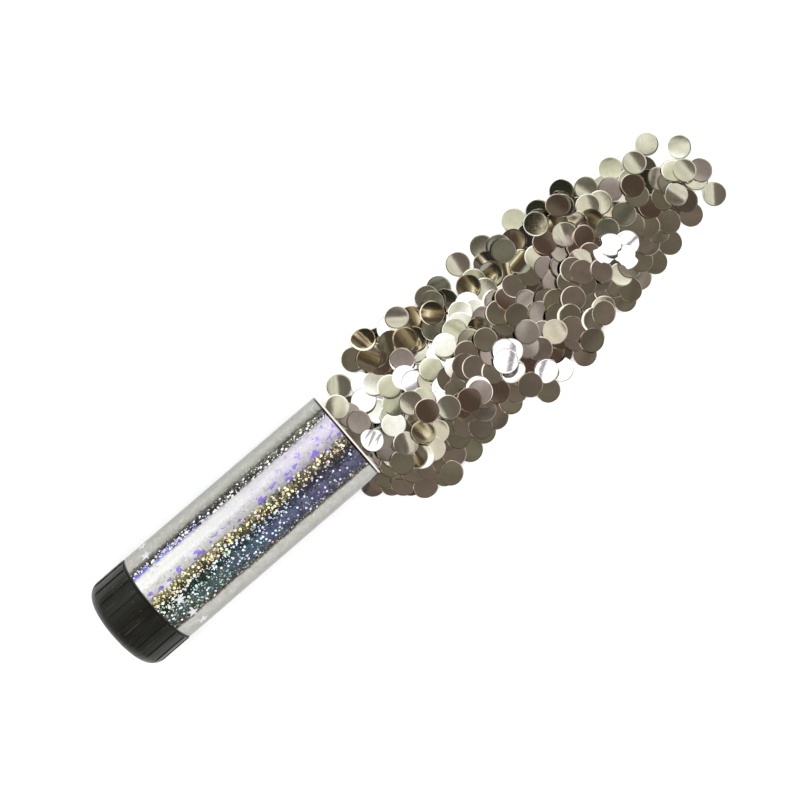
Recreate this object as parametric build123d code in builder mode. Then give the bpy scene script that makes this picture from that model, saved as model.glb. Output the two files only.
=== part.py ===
"""Twist-base confetti popper, shown just fired: the tube lies on a table and its foil discs are spread in front of the mouth.

Lengths are in millimetres, +Z is up and the table is z = 0. The tube lies along +X with its base at -X.
Stations along the tube are counted from the underside of the base.
"""

import os

from build123d import *

os.makedirs("parts", exist_ok=True)

# ---------------------------------------------------------------- driving dimensions
SHIFT_X = -146.798  # puts the middle of the whole layout over the origin
SHIFT_Y = 7.249
BASE_R = 19.1  # over the grip ribs; also the height of the tube's axis
BASE_H = 17.8
BASE_CORNER = 5.5
BASE_BORE_R = 17.0
BASE_FLOOR = 2.2
RIBS = 19
RIB_DEG = 9.2
RIB_DEPTH = 0.3
RIB_FIRST_DEG = 86.1

TUBE_START = 18.7
TUBE_END = 112.0
TUBE_R = 18.88
TUBE_BORE_R = 17.5
FOIL_R = 18.98
FOIL_END = 111.35
LAP_R = 19.05
LAP_FROM_DEG, LAP_TO_DEG = 292.0, 310.0

SEAT_SLEEVE_END = 26.5
SEAT_SLEEVE_R = 17.46
SEAT_SLEEVE_BORE_R = 15.9
SEAT_FLANGE_R = 18.5
SEAT_FLANGE_FROM = 18.0
SEAT_FLOOR_FROM, SEAT_FLOOR_TO = 17.2, 19.6
NECK_FROM = 5.5
NECK_R = 16.9
NECK_BORE_R = 15.3
SNAP_FROM, SNAP_TO, SNAP_R = 10.4, 12.2, 16.3
SPRING_GUIDE_IN, SPRING_GUIDE_OUT = 11.9, 12.9

KEY_ROUND_R = 3.9  # the keyhole in the seat and in the latch plate
KEY_SLOT_L, KEY_SLOT_W = 15.2, 4.8
TWIST_DEG = 90.0
LUG_DEG, LUG_AT_DEG = 12.0, 45.0
STOP_PLAY_DEG = 1.0

PLATE_FROM, PLATE_TO, PLATE_R = 13.9, 16.9, 13.5
DRIVE_AT = 10.5

STROKE = 50.0  # travel of the ejector from cocked to fired
T_ARM_L, T_ARM_W, T_CORE_R = 14.4, 4.0, 3.6
T_FROM, T_TO = 9.6 + STROKE, 13.3 + STROKE
KEY_FROM, KEY_TO = 17.6 + STROKE, 24.0 + STROKE
POST_TO = 33.1 + STROKE
PISTON_TO = 35.1 + STROKE
PISTON_R = 17.25
PISTON_SKIRT_FROM = 27.1 + STROKE
WAD_TO = 36.3 + STROKE

SPRING_R = 11.0
SPRING_WIRE_R = 0.6
SPRING_TURNS = 8

DISC_R = 5.0
DISC_T = 0.08

# ---------------------------------------------------------------- shared datums
tube_axis = Axis((SHIFT_X, SHIFT_Y, BASE_R), (1, 0, 0))
lengthwise = Plane(origin=(SHIFT_X, SHIFT_Y, BASE_R), x_dir=(1, 0, 0), z_dir=(0, -1, 0))


def station(x):
    """Plane across the tube at a distance from the base's underside; its X is world Y and its Y is world Z."""
    return Plane(origin=(SHIFT_X + x, SHIFT_Y, BASE_R), x_dir=(0, 1, 0), z_dir=(1, 0, 0))


def disc_places(rows):
    """Locations of foil discs from rows of centre and upward normal."""
    return [
        Plane(origin=(x + SHIFT_X, y + SHIFT_Y, z), z_dir=(nx, ny, (1 - nx * nx - ny * ny) ** 0.5)).location
        for x, y, z, nx, ny in rows
    ]


# ---------------------------------------------------------------- barrel
with BuildPart() as barrel_tube:
    with BuildSketch(station(TUBE_START)):
        Circle(TUBE_R)
        Circle(TUBE_BORE_R, mode=Mode.SUBTRACT)
    extrude(amount=TUBE_END - TUBE_START)
    fillet(barrel_tube.faces().sort_by(Axis.X)[-1].edges(), 0.3)
barrel_tube.part.label = "barrel_tube"
export_step(barrel_tube.part, "parts/barrel_tube.step")

with BuildPart() as foil_wrap:
    with BuildSketch(station(TUBE_START)):
        Circle(FOIL_R)
        Circle(TUBE_R, mode=Mode.SUBTRACT)
    extrude(amount=FOIL_END - TUBE_START)
    with BuildSketch(station(TUBE_START)):
        with BuildLine():
            lap_out = CenterArc((0, 0), LAP_R, LAP_FROM_DEG, LAP_TO_DEG - LAP_FROM_DEG)
            lap_in = CenterArc((0, 0), FOIL_R - 0.05, LAP_FROM_DEG, LAP_TO_DEG - LAP_FROM_DEG)
            Line(lap_out @ 0, lap_in @ 0)
            Line(lap_out @ 1, lap_in @ 1)
        make_face()
    extrude(amount=FOIL_END - TUBE_START)
foil_wrap.part.label = "foil_wrap"
export_step(foil_wrap.part, "parts/foil_wrap.step")

with BuildPart() as latch_seat:
    with BuildSketch(lengthwise):
        with BuildLine():
            Polyline(
                (SEAT_SLEEVE_END, SEAT_SLEEVE_R),
                (TUBE_START, SEAT_SLEEVE_R),
                (TUBE_START, SEAT_FLANGE_R),
                (SEAT_FLANGE_FROM, SEAT_FLANGE_R),
                (SEAT_FLANGE_FROM, NECK_R),
                (SNAP_TO, NECK_R),
                (SNAP_TO, SNAP_R),
                (SNAP_FROM, SNAP_R),
                (SNAP_FROM, NECK_R),
                (NECK_FROM + 0.5, NECK_R),
                (NECK_FROM, NECK_R - 0.5),
                (NECK_FROM, NECK_BORE_R),
                (SEAT_FLOOR_FROM, NECK_BORE_R),
                (SEAT_FLOOR_FROM, 0),
                (SEAT_FLOOR_TO, 0),
                (SEAT_FLOOR_TO, SPRING_GUIDE_IN),
                (SEAT_FLOOR_TO + 2.0, SPRING_GUIDE_IN),
                (SEAT_FLOOR_TO + 2.0, SPRING_GUIDE_OUT),
                (SEAT_FLOOR_TO, SPRING_GUIDE_OUT),
                (SEAT_FLOOR_TO, SEAT_SLEEVE_BORE_R),
                (SEAT_SLEEVE_END, SEAT_SLEEVE_BORE_R),
                close=True,
            )
        make_face()
    revolve(axis=tube_axis)
    with BuildSketch(station(SEAT_FLOOR_FROM - 0.5)):
        Circle(KEY_ROUND_R)
        Rectangle(KEY_SLOT_L, KEY_SLOT_W)
    extrude(amount=SEAT_FLOOR_TO - SEAT_FLOOR_FROM + 1, mode=Mode.SUBTRACT)
    with BuildSketch(station(NECK_FROM - 0.5)):
        with BuildLine():
            notch_from = LUG_AT_DEG - TWIST_DEG - LUG_DEG / 2 - STOP_PLAY_DEG
            notch_deg = TWIST_DEG + LUG_DEG + 2 * STOP_PLAY_DEG
            notch_out = CenterArc((0, 0), NECK_R + 0.5, notch_from, notch_deg)
            notch_in = CenterArc((0, 0), NECK_BORE_R - 0.5, notch_from, notch_deg)
            Line(notch_out @ 0, notch_in @ 0)
            Line(notch_out @ 1, notch_in @ 1)
        make_face()
    extrude(amount=3.8, mode=Mode.SUBTRACT)
latch_seat.part.label = "latch_seat"
export_step(latch_seat.part, "parts/latch_seat.step")

with BuildPart() as drive_spring:
    with BuildLine() as coil:
        Helix(
            pitch=(POST_TO - SEAT_FLOOR_TO - 2 * SPRING_WIRE_R - 0.06) / SPRING_TURNS,
            height=POST_TO - SEAT_FLOOR_TO - 2 * SPRING_WIRE_R - 0.06,
            radius=SPRING_R,
            center=(SHIFT_X + SEAT_FLOOR_TO + SPRING_WIRE_R + 0.03, SHIFT_Y, BASE_R),
            direction=(1, 0, 0),
        )
    with BuildSketch(Plane(origin=coil.line @ 0, z_dir=coil.line % 0)):
        Circle(SPRING_WIRE_R)
    sweep(path=coil.line, is_frenet=True)
drive_spring.part.label = "drive_spring"
export_step(drive_spring.part, "parts/drive_spring.step")

# ---------------------------------------------------------------- twisting base
with BuildPart() as twist_base:
    with BuildSketch(lengthwise):
        with BuildLine():
            Line((0, 0), (0, BASE_R - BASE_CORNER))
            CenterArc((BASE_CORNER, BASE_R - BASE_CORNER), BASE_CORNER, 180, -90)
            Polyline(
                (BASE_CORNER, BASE_R),
                (BASE_H - 0.4, BASE_R),
                (BASE_H, BASE_R - 0.4),
                (BASE_H, BASE_BORE_R + 0.3),
                (BASE_H - 0.3, BASE_BORE_R),
                (11.9, BASE_BORE_R),
                (11.5, SNAP_R + 0.2),
                (11.1, SNAP_R + 0.2),
                (10.7, BASE_BORE_R),
                (BASE_FLOOR + 2.5, BASE_BORE_R),
                (BASE_FLOOR, BASE_BORE_R - 2.5),
                (BASE_FLOOR, 0),
                (0, 0),
            )
        make_face()
    revolve(axis=tube_axis)
    # flutes leave the grip ribs standing and run out where the lower corner rounds off
    for k in range(RIBS):
        with BuildSketch(station(-1)):
            with BuildLine():
                flute_from = RIB_FIRST_DEG + RIB_DEG / 2 + k * 360 / RIBS
                flute_out = CenterArc((0, 0), BASE_R + 1, flute_from, 360 / RIBS - RIB_DEG)
                flute_in = CenterArc((0, 0), BASE_R - RIB_DEPTH, flute_from, 360 / RIBS - RIB_DEG)
                Line(flute_out @ 0, flute_in @ 0)
                Line(flute_out @ 1, flute_in @ 1)
            make_face()
    extrude(amount=BASE_H + 2, mode=Mode.SUBTRACT)
    # shallow round recess in the underside
    with BuildSketch(station(0)):
        Circle(11)
    extrude(amount=0.5, mode=Mode.SUBTRACT)
    # posts that carry the latch plate
    with BuildSketch(station(BASE_FLOOR - 0.5)):
        with Locations((0, DRIVE_AT), (0, -DRIVE_AT)):
            Rectangle(7, 5)
    extrude(amount=PLATE_FROM - 0.1 - BASE_FLOOR + 0.5)
    with BuildSketch(station(PLATE_FROM - 0.5)):
        with Locations((0, DRIVE_AT), (0, -DRIVE_AT)):
            Rectangle(5, 3)
    extrude(amount=2.0)
    # lug that runs in the seat's notch and stops the twist at each end
    with BuildSketch(station(BASE_FLOOR + 1.2)):
        with BuildLine():
            lug_out = CenterArc((0, 0), BASE_BORE_R + 0.2, LUG_AT_DEG - LUG_DEG / 2, LUG_DEG)
            lug_in = CenterArc((0, 0), NECK_BORE_R + 0.15, LUG_AT_DEG - LUG_DEG / 2, LUG_DEG)
            Line(lug_out @ 0, lug_in @ 0)
            Line(lug_out @ 1, lug_in @ 1)
        make_face()
    extrude(amount=4.6)
twist_base.part.label = "twist_base"
export_step(twist_base.part, "parts/twist_base.step")

with BuildPart() as latch_plate:
    with BuildSketch(station(PLATE_FROM)):
        Circle(PLATE_R)
        Circle(KEY_ROUND_R, mode=Mode.SUBTRACT)
        Rectangle(KEY_SLOT_L, KEY_SLOT_W, mode=Mode.SUBTRACT)
    extrude(amount=PLATE_TO - PLATE_FROM)
    with BuildSketch(station(PLATE_FROM)):
        with Locations((0, DRIVE_AT), (0, -DRIVE_AT)):
            Rectangle(5.3, 3.3)
    extrude(amount=1.8, mode=Mode.SUBTRACT)
latch_plate.part.label = "latch_plate"
export_step(latch_plate.part, "parts/latch_plate.step")

# ---------------------------------------------------------------- ejector, stored in its fired position
with BuildPart() as ejector_post:
    with BuildSketch(station(T_FROM)):
        Circle(T_CORE_R)
        Rectangle(T_ARM_L, T_ARM_W)
    extrude(amount=T_TO - T_FROM)
    with BuildSketch(station(T_TO)):
        Circle(3.1)
    extrude(amount=KEY_FROM - T_TO)
    with BuildSketch(station(KEY_FROM)):
        Circle(T_CORE_R)
        Rectangle(T_ARM_L, T_ARM_W)
    extrude(amount=KEY_TO - KEY_FROM)
    with BuildSketch(station(KEY_TO)):
        Circle(4.5)
    extrude(amount=POST_TO - KEY_TO)
    with BuildSketch(station(POST_TO - 1.5)):
        Circle(6.5)
    extrude(amount=1.5)
    with BuildSketch(station(POST_TO - 11)):
        Circle(1.1)
    extrude(amount=11, mode=Mode.SUBTRACT)
ejector_post.part.label = "ejector_post"
export_step(ejector_post.part, "parts/ejector_post.step")

with BuildPart() as piston_cup:
    with BuildSketch(station(POST_TO)):
        Circle(PISTON_R)
    extrude(amount=PISTON_TO - POST_TO)
    with BuildSketch(station(PISTON_SKIRT_FROM)):
        Circle(PISTON_R)
        Circle(16.0, mode=Mode.SUBTRACT)
    extrude(amount=POST_TO - PISTON_SKIRT_FROM)
    with BuildSketch(station(POST_TO - 1.6)):
        Circle(SPRING_GUIDE_OUT)
        Circle(SPRING_GUIDE_IN, mode=Mode.SUBTRACT)
    extrude(amount=1.6)
    with BuildSketch(station(POST_TO)):
        Circle(1.5)
    extrude(amount=PISTON_TO - POST_TO, mode=Mode.SUBTRACT)
    with BuildSketch(station(PISTON_TO - 1.0)):
        Circle(3.0)
    extrude(amount=1.0, mode=Mode.SUBTRACT)
piston_cup.part.label = "piston_cup"
export_step(piston_cup.part, "parts/piston_cup.step")

with BuildPart() as post_screw:
    with BuildSketch(lengthwise):
        with BuildLine():
            Polyline(
                (POST_TO - 9.6, 0),
                (POST_TO - 8.4, 1.05),
                (PISTON_TO - 1.0, 1.05),
                (PISTON_TO - 1.0, 2.7),
                (PISTON_TO - 0.4, 2.7),
                (PISTON_TO - 0.1, 2.2),
                (PISTON_TO - 0.1, 0),
                close=True,
            )
        make_face()
    revolve(axis=tube_axis)
    with BuildSketch(station(PISTON_TO - 0.6)):
        Rectangle(2.8, 0.6)
        Rectangle(0.6, 2.8)
    extrude(amount=1.0, mode=Mode.SUBTRACT)
post_screw.part.label = "post_screw"
export_step(post_screw.part, "parts/post_screw.step")

with BuildPart() as piston_wad:
    with BuildSketch(station(PISTON_TO)):
        Circle(17.15)
    extrude(amount=WAD_TO - PISTON_TO)
    fillet(piston_wad.faces().sort_by(Axis.X)[-1].edges(), 0.2)
piston_wad.part.label = "piston_wad"
export_step(piston_wad.part, "parts/piston_wad.step")

# ---------------------------------------------------------------- foil discs
# Each row is a disc's centre x, y, z and the x and y of its upward normal. x is counted from the base's underside and
# y from the tube's axis.
BORE_DISCS = [
    (94.842, -6.536, 3.824, 0, 0.3877),
    (106.737, -2.316, 2.666, 0, 0.1417),
    (106.022, -2.366, 3.014, 0, 0.1417),
    (103.523, 0.033, 3.132, 0, 0.1178),
    (99.406, 7.972, 5.1, 0, -0.4024),
    (97.943, 2.22, 4.426, 0, -0.1306),
    (101.612, -1.927, 4.51, 0.0605, -0.0868),
    (107.935, 3.747, 4.394, 0.255, -0.0171),
    (96.493, -4.418, 5.354, 0, 0.0016),
    (95.673, -1.403, 5.689, 0, 0.0016),
    (96.37, 2, 6.024, 0, 0.0016),
    (94.278, -1.033, 6.369, 0, 0.0016),
    (97.071, 5.95, 6.767, 0, -0.0121),
    (99.996, 5.175, 7.098, 0, -0.0121),
    (99.425, -5.791, 6.304, 0.2274, -0.1121),
    (101.251, 1.183, 7.546, 0.0558, -0.0307),
    (92.644, -3.905, 7.478, -0.2347, -0.0354),
    (101.582, -4, 8.106, 0.2719, -0.2485),
    (96.405, -4.23, 9.779, -0.3657, -0.1783),
    (97.277, -2.22, 10.868, -0.3657, -0.1783),
    (93.316, 1.185, 10.381, -0.4677, 0.0408),
    (92.955, 0.631, 10.566, -0.4677, 0.0408),
]

MOUTH_DISCS = [
    (106.741, -21.322, 0.092, -0.0101, 0),
    (110.417, -21.876, 0.514, -0.0133, 0.0082),
    (112.673, -25.886, 0.938, -0.0002, 0.0026),
    (113.02, -22.516, 1.294, -0.0018, -0.0019),
    (136.755, -14.764, 0.04, 0, 0),
    (126.291, -5.085, 0.04, 0, 0),
    (118.266, -30.766, 0.898, 0.1183, -0.116),
    (138.157, 13.532, 0.04, 0, 0),
    (125.73, -19.3, 0.04, 0, 0),
    (132.154, -21.268, 0.38, 0, 0),
    (114.477, 7.493, 4.664, 0.3879, -0.1154),
    (134.265, -3.348, 0.255, 0.0406, 0.0101),
    (140.18, 14.305, 0.38, 0, 0),
    (126.879, -0.7, 0.574, -0.0592, 0.085),
    (131.124, -5.132, 1.293, 0.1071, -0.0814),
    (114, 0.636, 4.145, 0.3108, -0.2562),
    (125.014, -24.616, 1.142, 0.0794, 0.0198),
    (124.934, -28.561, 1.567, 0.0794, 0.0198),
    (119.745, -23.224, 1.986, 0.0099, 0.0892),
    (128.564, -32.529, 1.633, 0.2606, -0.1659),
    (136.973, -2.114, 1.487, 0.0753, -0.0376),
    (113.619, -6.72, 4.91, 0.2917, 0.1211),
    (115.979, -28.842, 2.467, -0.1002, -0.1323),
    (121.849, -35.577, 2.234, -0.1201, -0.3448),
    (130.543, -36.454, 1.951, 0.3261, -0.1641),
    (132.943, -38.311, 3.497, 0.0856, -0.3601),
    (114.415, 3.613, 5.284, 0.292, -0.2425),
    (114.22, -2.838, 5.268, 0.2992, -0.0067),
    (140.754, 24.388, 2.109, 0.1723, 0.3403),
    (132.764, 21.037, 0.85, -0.1343, -0.0785),
    (121.748, 16.65, 0.043, -0.0001, 0.0006),
    (115.748, 10.678, 7.147, 0.3255, -0.0592),
    (119.061, -23.171, 3.399, 0.0754, 0.1724),
    (122.302, -27.661, 4.248, 0.1188, 0.1072),
    (127.816, -30.825, 4.055, 0.2563, 0.0145),
    (133.295, -33.024, 2.906, 0.3213, -0.0182),
    (138.841, -33.106, 2.376, 0.1431, -0.0541),
    (140.224, -26.514, 2.41, 0.1179, 0.2603),
    (117.383, 5.188, 5.416, 0.3617, -0.1324),
    (118.301, 0.798, 4.942, 0.3527, -0.1043),
    (129.685, 11.109, 0.386, -0.0125, -0.0544),
    (125.461, 6.108, 1.04, 0.0724, 0.0371),
    (132.993, 8.38, 0.97, 0.0512, -0.0002),
    (139.896, 13.393, 1.504, -0.0064, -0.0904),
    (140.493, 16.517, 2.137, -0.0053, -0.0886),
    (137.576, 17.06, 2.518, -0.0067, -0.0865),
    (124.73, -13.941, 0.515, 0.0219, 0.0162),
    (117.594, -12.075, 0.69, -0.1052, 0.0461),
    (117.528, -15.448, 2.363, -0.0008, 0.242),
    (118.161, -19.718, 3.772, -0.0008, 0.2404),
    (117.209, -20.625, 4.38, -0.0013, 0.2307),
    (120.026, -17.962, 4.1, -0.0009, 0.2299),
    (120.254, -14.771, 3.845, 0.0048, 0.2012),
    (120.534, -10.004, 3.215, 0.0051, 0.1998),
    (117.911, -7.808, 5.004, 0.24, -0.0631),
    (129.842, -5.64, 2.067, 0.0281, -0.0864),
    (128.048, -9.024, 3.251, 0.1797, 0.0672),
    (133.924, -2.683, 2.566, 0.1245, -0.0044),
    (136.796, 3.555, 2.262, 0.1772, 0.1622),
    (138.839, -6.887, 3.486, -0.1099, -0.0449),
    (139.353, -22.043, 2.501, -0.108, 0.306),
    (133.674, -26.096, 4.128, 0.0105, 0.3073),
    (128.432, -25.643, 4.633, 0.049, 0.2917),
    (126.485, -23.517, 5.3, 0.1275, 0.15),
    (120.776, -22.169, 6.017, -0.0781, 0.1983),
    (126.752, -17.467, 5.42, 0.1752, 0.2497),
    (134.959, -18.781, 3.969, 0.3436, 0.2169),
    (141.525, -13.34, 3.645, -0.0781, -0.1408),
    (119.663, 7.155, 0.394, -0.032, -0.0077),
    (128.415, -11.787, 2.311, 0.0483, 0.0232),
    (138.735, 4.068, 0.443, -0.0107, 0.0508),
    (117.563, -1.249, 0.593, -0.0145, -0.001),
]

NEAR_DISCS = [
    (154.898, 15.854, 0.04, 0, 0),
    (146.794, 5.637, 0.04, 0, 0),
    (151.848, -21.184, 0.04, 0, 0),
    (151.087, -6.9, 0.04, 0, 0),
    (160.479, -18.279, 0.232, 0.0351, 0.0117),
    (165.806, -3.744, 0.04, 0, 0),
    (146.426, -1.969, 0.38, 0, 0),
    (164.859, -28.995, 0.04, 0, 0),
    (152.176, -28.268, 0.28, 0, -0.0468),
    (158.971, 7.748, 0.231, 0.0168, -0.0336),
    (164.118, -29.954, 0.38, 0, 0),
    (155.094, 5.593, 0.564, 0.0168, -0.0336),
    (165.215, 10.104, 0.442, 0.0775, -0.0031),
    (166.335, -23.004, 0.61, 0.0262, 0.0473),
    (171.808, -4.131, 2.025, -0.0406, 0.0829),
    (145.488, -25.48, 0.528, -0.0949, 0.0008),
    (166.787, 9.067, 0.657, 0.0775, -0.0031),
    (150.715, 13.439, 0.739, -0.12, 0.0636),
    (151.748, -29.777, 0.975, 0.0701, -0.109),
    (156.709, -8.344, 0.38, 0, 0),
    (143.723, -4.975, 0.72, 0, 0),
    (154.146, 7.655, 1.479, 0.0166, -0.1298),
    (162.562, 14.696, 1, -0.0223, 0.1458),
    (168.418, 16.162, 1.119, 0.1497, 0.1442),
    (144.779, -36.2, 0.781, -0.0543, -0.1157),
    (153.53, -34.07, 1.096, 0.1406, -0.0911),
    (160.968, -33.089, 1.025, 0.046, -0.0411),
    (169.287, -32.354, 0.777, 0.1295, -0.0593),
    (171.002, 20.601, 1.094, 0.0557, 0.0523),
    (160.539, 18.749, 1.401, -0.1063, 0.2254),
    (156.54, 22.393, 2.691, 0.1464, 0.361),
    (145.198, 20.565, 0.559, 0.0208, 0.0906),
    (144.394, -29.127, 3.149, 0.1118, 0.1944),
    (145.548, -23.337, 2.134, 0.1063, 0.2839),
    (149.323, -27.765, 3.202, 0.2473, 0.0504),
    (153.475, -31.925, 2.814, 0.2339, 0.0086),
    (154.105, -23.977, 2.383, 0.2333, 0.1905),
    (159.288, -27.46, 2.448, 0.2089, 0.0882),
    (162.088, -23.773, 1.983, 0.1862, 0.0822),
    (168.126, -25.868, 1.913, 0.0781, 0.0805),
    (171.048, 17.93, 2.146, -0.019, 0.1126),
    (142.438, 12.59, 1.09, -0.009, -0.0896),
    (148.367, 16.314, 2.217, 0.1125, -0.0493),
    (152.4, 11.275, 2.376, 0.0069, -0.1314),
    (156.366, 11.455, 2.738, 0.0049, -0.1271),
    (153.505, 13.81, 3.424, -0.0099, -0.125),
    (147.187, 8.222, 2.251, -0.1593, -0.265),
    (143.509, 2.498, 2.389, 0.1126, -0.0141),
    (144.964, -1.421, 2.656, 0.0959, 0.0087),
    (149.86, -5.151, 2.358, 0.2311, -0.1102),
    (159.616, 0.266, 1.1, 0.1165, -0.0403),
    (153.671, -1.935, 2.473, 0.1824, -0.0725),
    (152.43, -10.885, 1.905, 0.1258, -0.1924),
    (147.424, -14.19, 2.234, 0.0489, -0.1979),
    (156.743, -9.205, 2.098, 0.1158, -0.182),
    (161.821, -7.836, 2.075, 0.2791, -0.1186),
    (160.619, -12.99, 2.161, 0.2148, -0.208),
    (155.59, -15.402, 3.081, 0.0796, -0.2271),
    (143.173, -8.786, 3.497, -0.1352, -0.0528),
    (164.772, 9.745, 2.415, 0.1262, -0.2251),
    (168.22, 14.519, 3.552, 0.1082, 0.1085),
    (170.489, 3.525, 3.128, -0.0271, 0.0992),
    (163.759, 1.746, 3.256, -0.1377, 0.0758),
    (168.224, -6.321, 4.366, -0.1625, -0.1277),
    (164.38, -9.55, 4.078, -0.0806, -0.135),
    (166.872, -12.675, 4.203, -0.0798, -0.1336),
    (171.688, -18.594, 3.426, 0.1141, -0.316),
    (162.69, -19.826, 3.913, -0.1343, -0.1311),
    (162.335, -21.314, 4.112, -0.1216, -0.1163),
    (153.089, -20.409, 3.995, -0.054, 0.0286),
    (156.889, -20.982, 4.674, -0.001, -0.0109),
    (148.809, -17.807, 4.087, -0.2616, 0.0973),
    (151.625, 21.03, 1.468, -0.0029, -0.0054),
]

MIDDLE_DISCS = [
    (197.632, -30.246, 0.04, 0, 0),
    (195.12, 5.035, 0.04, 0, 0),
    (182.468, -18.306, 0.04, 0, 0),
    (176.239, -14.955, 0.286, -0.0425, 0.0212),
    (184.177, -31.409, 0.04, 0, 0),
    (185.856, -15.469, 0.482, 0.083, 0.0214),
    (174.097, -4.743, 0.247, 0.0412, 0),
    (195.487, -7.936, 0.04, 0, 0),
    (172.49, -0.38, 0.654, 0.0412, 0),
    (186.394, 0.093, 0.214, -0.0302, -0.0151),
    (181.11, -2.379, 0.686, 0.0354, -0.0151),
    (192.152, -20.664, 0.429, 0.0779, 0),
    (189.063, -22.756, 1.011, 0.0779, 0),
    (198.529, -11.599, 0.551, -0.0324, -0.0081),
    (172.371, -0.646, 1.215, -0.0022, 0),
    (177.245, -7.708, 1.223, 0.0525, -0.082),
    (174.085, -11.526, 1.415, 0.0525, -0.082),
    (194.479, -27.12, 0.88, 0.0958, -0.0192),
    (192.456, -9.26, 0.733, -0.0289, -0.0064),
    (188.626, 7.388, 0.492, -0.0188, 0.0855),
    (174.968, 8.865, 0.844, 0.0659, 0.1409),
    (195.693, -14.16, 1.083, 0.0031, -0.0703),
    (195.063, -9.458, 1.757, 0.0031, -0.0703),
    (177.124, -2.2, 2.299, 0.1752, 0.1526),
    (200.472, -25.517, 1.114, 0.0111, -0.0259),
    (173.755, -30.322, 0.759, 0.112, -0.0503),
    (182.859, -32.412, 0.535, 0.022, -0.0206),
    (183.759, -38.62, 0.642, 0.0187, -0.0949),
    (193.329, -35.732, 0.849, 0.0788, -0.1069),
    (204.36, -37.228, 0.835, 0.0492, -0.1476),
    (201.201, 21.718, 0.041, -0.0001, 0.0002),
    (189.335, 22.819, 0.048, 0.0013, 0.0007),
    (177.24, 20.493, 0.323, 0.0452, 0.0318),
    (178.977, -26.665, 1.168, 0.0234, -0.0296),
    (184.962, -25.597, 1.737, -0.0184, -0.01),
    (195.222, -27.542, 1.866, -0.0357, 0.0249),
    (200.505, -25.589, 2.281, 0.0992, 0.0727),
    (197.917, 15.838, 0.507, -0.0892, -0.0029),
    (196.568, 11.386, 0.984, -0.0516, 0.0334),
    (189.507, 13.774, 0.807, -0.0851, 0.0343),
    (190.513, 7.988, 1.406, -0.0716, -0.0055),
    (186.504, 13.345, 1.291, -0.1696, 0.0868),
    (175.693, 14.901, 1.223, 0.124, -0.0303),
    (181.549, 8.118, 1.737, -0.0723, 0.0515),
    (181.764, 4.397, 2.289, -0.0719, 0.052),
    (177.077, 7.377, 2.177, -0.0643, 0.0492),
    (174.019, 4.123, 2.817, -0.0297, 0.1007),
    (189.79, 2.105, 2.408, 0.2078, -0.2287),
    (182.527, -0.421, 3.409, 0.0164, -0.1906),
    (178.279, -2.38, 3.94, 0.0496, -0.1013),
    (172.422, -3.521, 4.36, -0.0631, -0.1335),
    (173.563, -7.018, 4.308, -0.0626, -0.1324),
    (175.435, -12.831, 4.84, 0.2076, -0.1273),
    (177.292, -7.202, 5.439, 0.2194, -0.0124),
    (187.459, -7.291, 2.635, -0.0089, -0.1395),
    (188.131, -2.257, 3.866, 0.0486, -0.068),
    (194.501, -0.35, 3.528, 0.3415, 0.1022),
    (200.326, 1.677, 1.903, 0.2768, 0.0913),
    (200.069, -6.436, 2.562, 0.2889, -0.1042),
    (193.229, -8.063, 4.252, -0.0763, -0.3183),
    (200.786, -13.191, 2.854, 0.0755, -0.3637),
    (196.668, -19.999, 3.195, -0.1392, 0.0204),
    (200.438, -22.648, 4.123, -0.1379, 0.0206),
    (191.653, -24.052, 3.114, -0.1766, 0.0084),
    (188.384, -19.652, 2.899, -0.192, 0.1633),
    (192.028, -15.526, 4, -0.1511, 0.0324),
    (182.155, -17.106, 3.94, 0.0662, -0.1188),
    (180.086, -15.404, 4.984, 0.1123, -0.1547),
    (177.738, -23.845, 3.462, -0.0348, -0.3468),
    (177.767, -18.587, 5.636, -0.0373, -0.1219),
    (187.923, -32.287, 2.575, -0.0953, -0.1792),
    (179.545, -32.347, 2.095, -0.1252, -0.1338),
    (202.997, 10.392, 0.211, -0.0061, 0.0057),
    (179.395, -11.056, 1.699, 0.0804, -0.0778),
]

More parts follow.
